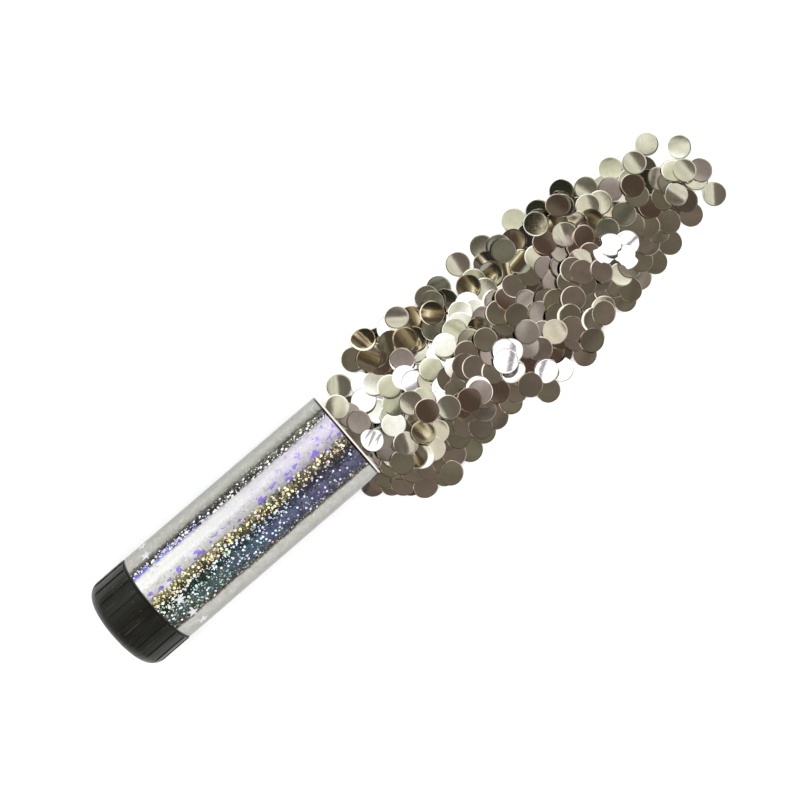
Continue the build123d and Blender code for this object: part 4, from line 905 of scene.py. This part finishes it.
        (224.019, -11.764, 5.354, -0.0266, 0.0478, "T"),
        (230.273, -16.441, 5.27, 0.3518, -0.042, "T"),
        (221.405, -28.157, 3.936, -0.0649, -0.3171, "F"),
        (214.894, -29.007, 4.7, 0.1304, -0.2271, "Tw"),
        (236.086, -12.004, 3.422, 0.4023, 0.0573, "C"),
        (240.345, -10.95, 3.507, 0.1566, 0.2252, "C"),
        (206.371, -5.844, 0.22, -0.0035, -0.0021, "B"),
        (238.151, -5.542, 0.244, -0.012, -0.0023, "B"),
        (236.51, -18.408, 1.435, 0.1157, -0.0465, "B"),
    ],
    "tip": [
        (266.061, -4.271, 0.04, 0, 0, "B"),
        (277.688, -11.764, 0.04, 0, 0, "B"),
        (254.398, 8.365, 0.04, 0, 0, "V"),
        (268.546, -6.648, 0.38, 0, 0, "B"),
        (245.551, -8.245, 0.04, 0, 0, "B"),
        (242.739, -21.014, 0.04, 0, 0, "B"),
        (257.012, 1.518, 0.278, 0.0146, -0.0438, "B"),
        (256.482, -3.11, 0.479, -0.0073, -0.0584, "V"),
        (255.788, -18.608, 0.04, 0, 0, "B"),
        (261.076, -7.648, 0.722, -0.0309, -0.0466, "B"),
        (251.023, -16.501, 0.38, 0, 0, "B"),
        (250.53, -2.375, 0.772, -0.0618, -0.0447, "D"),
        (268.885, -1.287, 1.128, 0.0232, 0.0383, "D"),
        (260.18, -22.092, 0.347, 0.0424, -0.0424, "B"),
        (263.556, -11.707, 0.95, -0.0309, -0.0466, "B"),
        (250.277, -27.918, 0.395, 0.0513, -0.024, "T"),
        (259.901, -25.898, 0.538, 0.0422, -0.0425, "T"),
        (273.992, -22.829, 0.068, -0.004, -0.0037, "T"),
        (288.606, -11.799, 0.468, 0.0741, 0.0376, "M"),
        (288.4, 0.889, 0.045, 0.0009, 0.0002, "F"),
        (278.988, 10.4, 0.4, 0.0435, 0.0507, "F"),
        (261.161, 12.158, 0.294, 0.0453, 0.0199, "F"),
        (286.551, -22.669, 0.438, 0.0417, -0.061, "K"),
        (248.382, 12.479, 0.612, 0.0373, 0.0505, "H"),
        (246.036, -23.515, 1.602, 0.1081, 0.0563, "T"),
        (252.613, -20.336, 1.356, 0.0502, 0.0613, "T"),
        (258.918, -19.237, 1.409, 0.0442, 0.0426, "T"),
        (264.623, -19.174, 1.535, 0.0649, 0.0222, "T"),
        (256.95, -15.052, 1.781, -0.0482, 0.1222, "T"),
        (252.811, -10.599, 1.578, -0.0609, 0.0841, "T"),
        (252.961, -5.161, 1.639, -0.0641, 0.0506, "G"),
        (262.919, -9.781, 1.952, 0.0461, 0.0709, "R"),
        (268.947, -10.393, 1.939, 0.2894, -0.0686, "T"),
        (272.982, -3.529, 1.705, 0.2634, -0.0772, "G"),
        (275.171, -7.657, 1.617, 0.2027, -0.0235, "G"),
        (261.846, -2.886, 2.025, 0.0787, 0.0715, "T"),
        (255.569, 6.023, 1.264, -0.0103, 0.0645, "M"),
        (248.517, 4.542, 1.539, -0.0993, -0.0399, "F"),
        (243.985, 6.626, 1.557, -0.0911, -0.0362, "L"),
        (242.626, -3.863, 0.97, -0.047, -0.0787, "D"),
        (243.5, -5.847, 1.857, -0.0701, -0.1602, "G"),
        (246.188, -14.632, 1.954, -0.0489, 0.0328, "X"),
        (242.067, -18.979, 2.98, 0.0713, -0.0882, "C"),
        (263.111, 1.157, 1.976, 0.0785, 0.0713, "R"),
        (269.858, 7.767, 1.404, 0.0608, 0.0662, "H"),
        (274.417, -12.848, 1.985, 0.1734, -0.1157, "H"),
        (279.733, -4.938, 1.373, 0.2186, 0.1237, "F"),
        (283.242, -7.619, 1.624, 0.1542, 0.1097, "H"),
        (269.757, -14.859, 0.226, -0.0069, 0.0077, "B"),
        (264.279, 3.313, 0.734, -0.0088, 0.0283, "F"),
        (242.48, 11.617, 0.236, 0.0211, 0.0127, "B"),
        (285.279, -13.133, 0.303, 0.0236, 0.0325, "F"),
        (275.971, -17.165, 0.952, 0.0955, 0.0217, "B"),
        (271.616, 3.248, 0.478, -0.01, -0.0316, "B"),
    ],
}

R_DISC, T_DISC = 5.0, 0.08
rng = np.random.RandomState(20417)


def unit(v):
    v = np.asarray(v, float)
    return v / np.linalg.norm(v, axis=-1, keepdims=True)


# creases of the crumpled discs: direction, offset, where it starts and ends along itself, width, depth
PATTERNS = [[(14, 2.5, -1.6, 3.6, 0.55, 0.46), (26, 0.35, -3.4, 3.4, 0.52, 0.52), (8, -1.2, 0.2, 4.2, 0.40, 0.40), (31, -2.2, -1.9, 2.6, 0.30, 0.36)],
            [(8, 1.3, -2.4, 3.0, 0.42, 0.34), (74, -0.9, -3.0, 2.2, 0.40, 0.34), (131, 1.5, -2.6, 2.4, 0.36, 0.30), (47, -2.5, -2.0, 1.8, 0.34, 0.28)]]


def crumple(lx, ly, fold):
    """Height of the crumpled disc and its slope, from soft valleys along a few lines, and a mask of painted shade
    along the valleys.
    """

    def height(px, py):
        total = 0.0
        for ang, off, a0, a1, width, deep in PATTERNS[1 if fold else 0]:
            c, s = math.cos(math.radians(ang + fold)), math.sin(math.radians(ang + fold))
            run, side = px * c + py * s, -px * s + py * c - off
            fade = 1.0 / (1.0 + math.exp(-(run - a0) * 3.0)) / (1.0 + math.exp((run - a1) * 3.0))
            wide = width * (0.55 + 0.9 * min(max((run - a0) / (a1 - a0), 0.0), 1.0))
            total -= deep * width * fade * math.exp(-((side / wide) ** 2))
        return total

    def valley_shade(px, py):
        total = 0.0
        for ang, off, a0, a1, width, deep in PATTERNS[1 if fold else 0]:
            c, s = math.cos(math.radians(ang + fold)), math.sin(math.radians(ang + fold))
            run, side = px * c + py * s, -px * s + py * c - off
            fade = 1.0 / (1.0 + math.exp(-(run - a0) * 4.0)) / (1.0 + math.exp((run - a1) * 4.0))
            wide = width * (0.35 + 1.3 * min(max((run - a0) / (a1 - a0), 0.0), 1.0))
            total = max(total, fade * math.exp(-((side / (1.1 * wide)) ** 4)))
        return total

    e = 0.02
    gx = (height(lx + e, ly) - height(lx - e, ly)) / (2 * e)
    gy = (height(lx, ly + e) - height(lx, ly - e)) / (2 * e)
    return 0.12 + height(lx, ly), (gx, gy), valley_shade(lx, ly)


def build_discs():
    names, rows = [], []
    for name in DISCS:
        for r in DISCS[name]:
            names.append(name)
            rows.append(r)
    C = np.array([r[:3] for r in rows], float)
    N = np.array([(r[3], r[4], math.sqrt(1 - r[3] ** 2 - r[4] ** 2)) for r in rows])
    tones = [r[5] for r in rows]
    n_disc = len(rows)
    e1 = unit(np.cross(np.tile((0.0, 1.0, 0.0), (n_disc, 1)), N))
    e2 = np.cross(N, e1)

    # room above and below each disc, sampled at points on it
    ring = [(0.98, a) for a in np.arange(0, 2 * math.pi, math.pi / 10)] + [(0.6, a) for a in np.arange(0, 2 * math.pi, math.pi / 5)]
    local = np.array([(r * R_DISC * math.cos(a), r * R_DISC * math.sin(a)) for r, a in ring])
    gap_up = np.full((n_disc, len(local)), 60.0)
    gap_dn = np.full((n_disc, len(local)), 60.0)
    for i in range(n_disc):
        pts = C[i] + local[:, :1] * e1[i] + local[:, 1:] * e2[i]
        gap_dn[i] = pts[:, 2] - T_DISC / 2
        near = np.where((np.hypot(*(C[:, :2] - C[i, :2]).T) < 2 * R_DISC) & (np.arange(n_disc) != i))[0]
        for j in near:
            d = pts[:, :2] - C[j, :2]
            zj = C[j, 2] - (d @ N[j, :2]) / N[j, 2]
            q = np.column_stack([d, zj - C[j, 2]])
            over = np.linalg.norm(q, axis=1) < R_DISC + 0.05
            g = zj - pts[:, 2]
            up = over & (g > 0)
            dn = over & (g <= 0)
            gap_up[i, up] = np.minimum(gap_up[i, up], g[up] - T_DISC)
            gap_dn[i, dn] = np.minimum(gap_dn[i, dn], -g[dn] - T_DISC)
    inside = np.array([n == "bore" for n in names])

    # curl of each disc and the way it faces: aim in the room (across x, across y), spread of the aim, curl in degrees,
    # direction of the curl in degrees from +X (None for any) and tints, darker for the B discs under others as painted
    # shade
    ways = {
        "T": (0.06, -0.10, 0.11, 4.2, None, [(0.86, 0.84, 0.70), (0.76, 0.74, 0.61), (0.95, 0.84, 0.79), (0.70, 0.64, 0.59), (0.88, 0.79, 0.73), (0.84, 0.81, 0.71)]),
        "B": (0.04, -0.12, 0.10, 3.0, None, [(0.46, 0.42, 0.37), (0.40, 0.38, 0.33)]),
        "W": (0.02, 0.92, 0.10, 4.0, None, [(0.93, 0.92, 0.91), (0.93, 0.92, 0.88)]),
        "V": (0.02, 0.56, 0.03, 5.0, None, [(0.93, 0.92, 0.86), (0.93, 0.92, 0.89)]),
        "F": (0.02, 0.395, 0.03, 5.6, None, [(0.96, 0.95, 0.86), (0.86, 0.86, 0.74), (0.76, 0.77, 0.66), (1.0, 0.99, 0.93), (0.90, 0.87, 0.79)]),
        "C": (0.02, 0.92, 0.02, 2.0, None, [(0.93, 0.92, 0.93)]),
        "X": (0.50, 1.18, 0.025, 9.0, 90, [(0.92, 0.90, 0.90)]),
        "L": (0.84, 0.04, 0.14, 7.0, 0, [(0.96, 0.92, 0.84), (0.92, 0.91, 0.82)]),
        "P": (0.84, 0.04, 0.06, 6.0, 0, [(1.0, 0.90, 0.86), (0.98, 0.90, 0.84)]),
        "H": (0.58, -0.05, 0.05, 9.0, 0, [(0.92, 0.88, 0.84), (0.88, 0.88, 0.80)]),
        "K": (0.58, -0.05, 0.01, 10.0, -39, [(0.92, 0.92, 0.86)]),
        "M": (0.44, -0.33, 0.025, 3.4, None, [(0.92, 0.88, 0.86), (0.86, 0.84, 0.80)]),
        "G": (0.32, -0.62, 0.12, 6.0, None, [(0.86, 0.86, 0.74), (0.80, 0.80, 0.68)]),
        "N": (-0.58, -0.20, 0.16, 17.0, None, [(0.86, 0.86, 0.68), (0.82, 0.78, 0.62), (0.90, 0.86, 0.82)]),
        "O": (-0.62, -0.12, 0.10, 15.0, 0, [(0.92, 0.84, 0.68), (0.88, 0.84, 0.70)]),
        "R": (-0.31, -0.06, 0.02, 2.5, 0, [(0.92, 0.76, 0.70), (0.80, 0.70, 0.62)]),
        "D": (-1.05, -0.10, 0.12, 5.0, None, [(0.86, 0.78, 0.70), (0.80, 0.82, 0.74)]),
    }
    plain_radii = [0.0, 1.4, 2.7, 3.8, 4.36, 4.62, 5.0]
    fine_radii = [0.0] + [round(0.3 * k, 2) for k in range(1, 15)] + [4.36, 4.62, 5.0]
    groups = {name: {"v": [], "f": [], "ln": [], "tint": []} for name in DISCS}
    for i in range(n_disc):
        tone, lip = tones[i][0], tones[i][1:]
        g = groups[names[i]]
        au, av, spread, curl, across, tints = ways[tone]
        fold = 110.0 * (sum(k == "C" for k in (w[0] for w in tones[:i])))
        # dull: how far painted shade darkens the tint along a crumpled disc's valleys
        soft, dull = (0.15, 0.22) if fold else (0.22, 0.72)
        radii, segs = (fine_radii, 72) if tone == "C" else (plain_radii, 32)
        psi = rng.uniform(0, math.pi)
        if across is not None:
            psi = math.radians(across) + (0.1 if tone == "K" else 0.9) * (psi - math.pi / 2) / (math.pi / 2)
        bend = math.radians(curl) * rng.uniform(0.5, 1.3)
        sign = 1.0 if rng.uniform() < 0.6 else -1.0
        jitter = rng.normal(0, 1, 4)
        cup = rng.uniform(-0.75, 0.75) * (1.0 if tone in "ONHXL" else 0.5)
        rim = rng.uniform(0.20, 0.46) if tone in "VWFCX" else rng.uniform(0.20, 0.52)
        tint = np.array(tints[int(rng.uniform() * len(tints))]) * rng.uniform(0.94, 1.03)
        # shape: as far as the neighbours leave room
        s_local = local[:, 0] * math.cos(psi) + local[:, 1] * math.sin(psi)
        with np.errstate(divide="ignore"):
            up_max = np.min(0.8 * R_DISC * np.maximum(gap_up[i] - 0.02, 0) / np.maximum(s_local**2, 1e-3))
            dn_max = np.min(0.8 * R_DISC * np.maximum(gap_dn[i] - 0.02, 0) / np.maximum(s_local**2, 1e-3))
        if inside[i]:
            up_max = min(up_max, math.radians(3))
        if sign > 0 and up_max < bend and dn_max > up_max:
            sign = -1.0
        elif sign < 0 and dn_max < bend and up_max > dn_max:
            sign = 1.0
        shape = sign * min(bend, up_max if sign > 0 else dn_max)
        look = bend if tone == "K" else sign * bend
        # facing: tilt that shows the wanted part of the room to the camera
        n_face = N[i].copy()
        if au is not None:
            want = unit(np.array([au + spread * jitter[0], av + spread * jitter[1], 1.0]))
            to_cam = unit(CAM_AT - C[i])
            n_face = unit(want + to_cam)
            n_face = unit(0.06 * N[i] + (1 - 0.06) * n_face)
        else:
            n_face = unit(N[i] + np.array([spread * jitter[0], spread * jitter[1], 0]))
        # vertices of the top and the bottom sheet
        bdir = math.cos(psi) * e1[i] + math.sin(psi) * e2[i]
        tdir = -math.sin(psi) * e1[i] + math.cos(psi) * e2[i]
        lip_at = {"n": 49.0, "e": -41.0, "s": -131.0, "w": 139.0}.get(lip.lower(), 0.0)
        lip_off = 1.15 if lip == lip.lower() else 0.45
        n_lip = unit(unit(np.array([0.02, 0.92, 1.0])) + unit(CAM_AT - C[i]))
        start = len(g["v"])
        top_n, bot_n, rad_d = [], [], []
        for sheet in (0, 1):
            for k, r in enumerate(radii):
                for q in range(1 if k == 0 else segs):
                    a = 2 * math.pi * q / segs
                    draw = 1.0
                    if tone == "C" and fold:  # folded-in edge
                        draw = 1.0 - 0.34 * (r / R_DISC) ** 2 * max(0.0, 0.7 * math.sin(2 * a + 0.9 * fold) + 0.45 * math.sin(3 * a + fold) + 0.2 * math.sin(7 * a))
                    elif tone == "C":
                        draw = 1.0 - (r / R_DISC) ** 2 * (0.20 * max(0.0, math.cos(a - 0.85)) ** 4 + 0.12 * max(0.0, math.cos(a + 0.45)) ** 6)
                    lx, ly = draw * r * math.cos(a), draw * r * math.sin(a)
                    s_ = lx * math.cos(psi) + ly * math.sin(psi)
                    h = shape * s_ * s_ / (2 * R_DISC)
                    slope, grey = (0.0, 0.0), 0.0
                    if tone == "C":
                        lift, slope, grey = crumple(lx, ly, fold)
                        slope = (soft * slope[0], soft * slope[1])
                        h += lift
                    edge = 0.022 if r >= 4.99 else 0.0
                    off = (T_DISC / 2 - edge) * (1 if sheet == 0 else -1)
                    pos = C[i] + lx * e1[i] + ly * e2[i] + (h + off) * N[i]
                    g["v"].append(place(*pos))
                    # the tint is darkened along the crumple's valleys: painted shade
                    g["tint"].append((*np.clip(tint * (1 - dull * grey), 0, 1), 1.0))
                    if sheet == 0:
                        radial = math.cos(a) * e1[i] + math.sin(a) * e2[i]
                        t_ = -lx * math.sin(psi) + ly * math.cos(psi)
                        nn = n_face - look * (s_ / R_DISC) * bdir - look * cup * (t_ / R_DISC) * tdir
                        if tone == "C":
                            nn = nn - slope[0] * e1[i] - slope[1] * e2[i]
                        if r > 4.5:
                            nn = nn + rim * (1.0 if r >= 4.99 else 0.3) * radial
                        if lip:
                            out_by = math.hypot(lx + lip_off * math.cos(math.radians(lip_at)), ly + lip_off * math.sin(math.radians(lip_at))) - R_DISC
                            turn_up = min(max((out_by + 0.12) / 0.3, 0.0), 1.0)
                            nn = (1 - turn_up) * nn + turn_up * n_lip
                        top_n.append(unit(nn))
                        bn = -(N[i] - shape * (s_ / R_DISC) * bdir)
                        if r >= 4.99:
                            bn = bn + 0.36 * radial
                        bot_n.append(unit(bn))
                        rad_d.append(radial)
        half = 1 + (len(radii) - 1) * segs

        def vid(sheet, k, q):
            return start + sheet * half + (0 if k == 0 else 1 + (k - 1) * segs + q % segs)

        def add(face, kind):
            g["f"].append(face)
            for w in face:
                o = (w - start) % half
                g["ln"].append(top_n[o] if kind == 0 else bot_n[o] if kind == 1 else rad_d[o])

        for q in range(segs):
            add((vid(0, 0, 0), vid(0, 1, q), vid(0, 1, q + 1)), 0)
            add((vid(1, 0, 0), vid(1, 1, q + 1), vid(1, 1, q)), 1)
            for k in range(1, len(radii) - 1):
                add((vid(0, k, q), vid(0, k + 1, q), vid(0, k + 1, q + 1), vid(0, k, q + 1)), 0)
                add((vid(1, k, q), vid(1, k, q + 1), vid(1, k + 1, q + 1), vid(1, k + 1, q)), 1)
            k = len(radii) - 1
            add((vid(1, k, q), vid(1, k, q + 1), vid(0, k, q + 1), vid(0, k, q)), 2)
    for name, g in groups.items():
        me = bpy.data.meshes.new("discs_" + name)
        me.from_pydata(g["v"], [], g["f"])
        ob = bpy.data.objects.new("discs_" + name, me)
        bpy.context.scene.collection.objects.link(ob)
        me.polygons.foreach_set("use_smooth", [True] * len(me.polygons))
        col = me.color_attributes.new("tint", "FLOAT_COLOR", "POINT")
        col.data.foreach_set("color", np.array(g["tint"], np.float32).ravel())
        me.normals_split_custom_set([tuple(v) for v in g["ln"]])
        me.materials.append(DISC)
        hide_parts("confetti_" + name)
        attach(ob, "confetti")


build_film()
build_stars()
build_spring()
build_discs()


# ---------------------------------------------------------------- table, room and light
def build_stage():
    n, rings = 64, [0.0, 0.4, 1.0, 2.0, 4.0]
    verts = [(0, 0, -0.00025)]
    faces = []
    for r in rings[1:]:
        for k in range(n):
            a = 2 * math.pi * k / n
            verts.append((r * math.cos(a), r * math.sin(a), -0.00025))
    for k in range(n):
        j = (k + 1) % n
        faces.append((0, 1 + k, 1 + j))
        for q in range(len(rings) - 2):
            a, b = 1 + q * n, 1 + (q + 1) * n
            faces.append((a + k, b + k, b + j, a + j))
    me = bpy.data.meshes.new("table")
    me.from_pydata(verts, [], faces)
    ob = bpy.data.objects.new("table", me)
    bpy.context.scene.collection.objects.link(ob)
    mat, g, p, co = material("table_top")
    p.inputs["Base Color"].default_value = (0.90, 0.90, 0.89, 1)
    p.inputs["Roughness"].default_value = 0.85
    p.inputs["Specular IOR Level"].default_value = 0.0
    p.inputs["Emission Color"].default_value = (1.0, 1.0, 1.0, 1)
    p.inputs["Emission Strength"].default_value = 0.12
    me.materials.append(mat)


build_stage()

world = bpy.data.worlds.new("studio")
bpy.context.scene.world = world
world.use_nodes = True
g = Graph(world.node_tree)
out = g.node("ShaderNodeOutputWorld")
bg = g.node("ShaderNodeBackground")
g.t.links.new(bg.outputs[0], out.inputs[0])
d = g.node("ShaderNodeTexCoord").outputs["Generated"]
dx, dy, dz = g.xyz(d)
up = g.math("MAXIMUM", dz, 0.04)
u, v = g.math("DIVIDE", dx, up), g.math("DIVIDE", dy, up)
plane = g.join(u, v, 0.0)
hue_drift = g.noise(plane, 2.6, 2.0, dims="2D")
slats = g.noise(g.join(g.mul(u, 1.5), g.mul(v, 1.0), 0.0), 1.0, 1.0, 0.4, dims="2D", distortion=0.8)
soft = g.noise(plane, 1.7, 1.0, dims="2D")
mottle = g.noise(plane, 4.6, 1.0, dims="2D")
ceiling = g.mix(g.line(hue_drift, 0.35, 0.65), (0.172, 0.141, 0.117), (0.142, 0.135, 0.102))
ceiling = g.mix(1.0, ceiling, g.ramp(g.noise(plane, 3.6, 1.0, dims="2D"), [(0.28, (0.58, 0.58, 0.60)), (0.72, (1.42, 1.42, 1.39))]), blend="MULTIPLY")
room = g.mix(g.step(dz, 0.92, 0.78), ceiling, (0.085, 0.080, 0.072))
olive = g.mix(g.line(mottle, 0.32, 0.68), (0.080, 0.077, 0.058), (0.205, 0.196, 0.160))
room = g.mix(g.step(v, -0.40, -0.54), room, olive)
umber = g.mix(g.line(hue_drift, 0.35, 0.65), (0.088, 0.058, 0.047), (0.070, 0.056, 0.042))
room = g.mix(g.step(u, -0.20, -0.26), room, umber)
streaks = g.ramp(slats, [(0.0, (0.014, 0.010, 0.008)), (0.34, (0.018, 0.013, 0.010)), (0.41, (0.075, 0.055, 0.032)), (0.445, (0.26, 0.205, 0.115)), (0.475, (0.85, 0.78, 0.60)), (0.505, (1.15, 1.08, 0.92)), (0.535, (0.40, 0.325, 0.19)), (0.57, (0.085, 0.063, 0.037)), (0.62, (0.020, 0.015, 0.011)), (0.68, (0.09, 0.07, 0.042)), (0.74, (0.40, 0.33, 0.21)), (1.0, (0.10, 0.08, 0.05))])
room = g.mix(g.step(u, -0.39, -0.45), room, streaks)
gloom = g.mix(g.line(hue_drift, 0.35, 0.65), (0.030, 0.021, 0.016), (0.024, 0.026, 0.019))
room = g.mix(g.step(u, -0.78, -0.88), room, gloom)
cream = g.ramp(slats, [(0.0, (0.95, 0.93, 0.80)), (0.38, (0.90, 0.88, 0.74)), (0.46, (0.60, 0.60, 0.48)), (0.54, (0.80, 0.78, 0.66)), (0.62, (0.50, 0.50, 0.41)), (0.70, (0.90, 0.88, 0.76)), (1.0, (0.6, 0.58, 0.5))])
soft_mauve = g.mul(g.band(u, 0.27, 0.60, 0.03), g.band(v, -0.49, -0.18, 0.03))
mauve = g.mix(g.line(mottle, 0.32, 0.68), (0.262, 0.224, 0.203), (0.60, 0.535, 0.475))
side = g.mix(g.step(v, -0.26, -0.34), cream, mauve)
room = g.mix(soft_mauve, room, mauve)
room = g.mix(g.mul(g.band(u, 0.58, 1.6, 0.03), g.band(v, -0.85, 0.55, 0.06)), room, side)
pane = g.mix(g.line(soft, 0.3, 0.7), (1.55, 1.55, 1.60), (1.15, 1.15, 1.08))
wall = g.mix(g.line(g.noise(plane, 6.5, 1.0, dims="2D"), 0.3, 0.7), (0.82, 0.81, 0.66), (0.50, 0.50, 0.40))
pane = g.mix(g.line(v, 0.46, 0.66), wall, pane)
pane = g.mix(g.mul(g.band(v, 1.10, 1.30, 0.012), g.step(u, 0.16, 0.20)), pane, (0.27, 0.25, 0.262))
room = g.mix(g.mul(g.band(v, 0.275, 2.0, 0.045), g.band(u, -1.9, 1.9, 0.1)), room, pane)
room = g.mix(g.mul(g.band(dz, 0.33, 0.71, 0.04), g.step(dy, -0.50, -0.62)), room, (0.42, 0.42, 0.44))
room = g.mix(g.step(dz, 0.34, 0.20), room, g.mix(g.line(g.noise(d, 3.0, 1.0), 0.35, 0.65), (0.26, 0.26, 0.25), (0.48, 0.475, 0.46)))
ends = g.step(g.math("ABSOLUTE", dx), 0.55, 0.72)
room = g.mix(g.mul(g.band(dz, 0.10, 0.46, 0.05), ends), room, g.mix(g.line(slats, 0.4, 0.6), (0.95, 0.93, 0.88), (0.45, 0.43, 0.40)))
ray = g.node("ShaderNodeLightPath").outputs["Is Glossy Ray"]
g.put(bg.inputs["Color"], g.mix(ray, (1.48, 1.48, 1.48), room))
world.cycles.sampling_method = "NONE"

scene = bpy.context.scene
scene.view_settings.view_transform = "Standard"
scene.view_settings.look = "None"
scene.view_settings.exposure = 0.0
scene.view_settings.gamma = 1.0
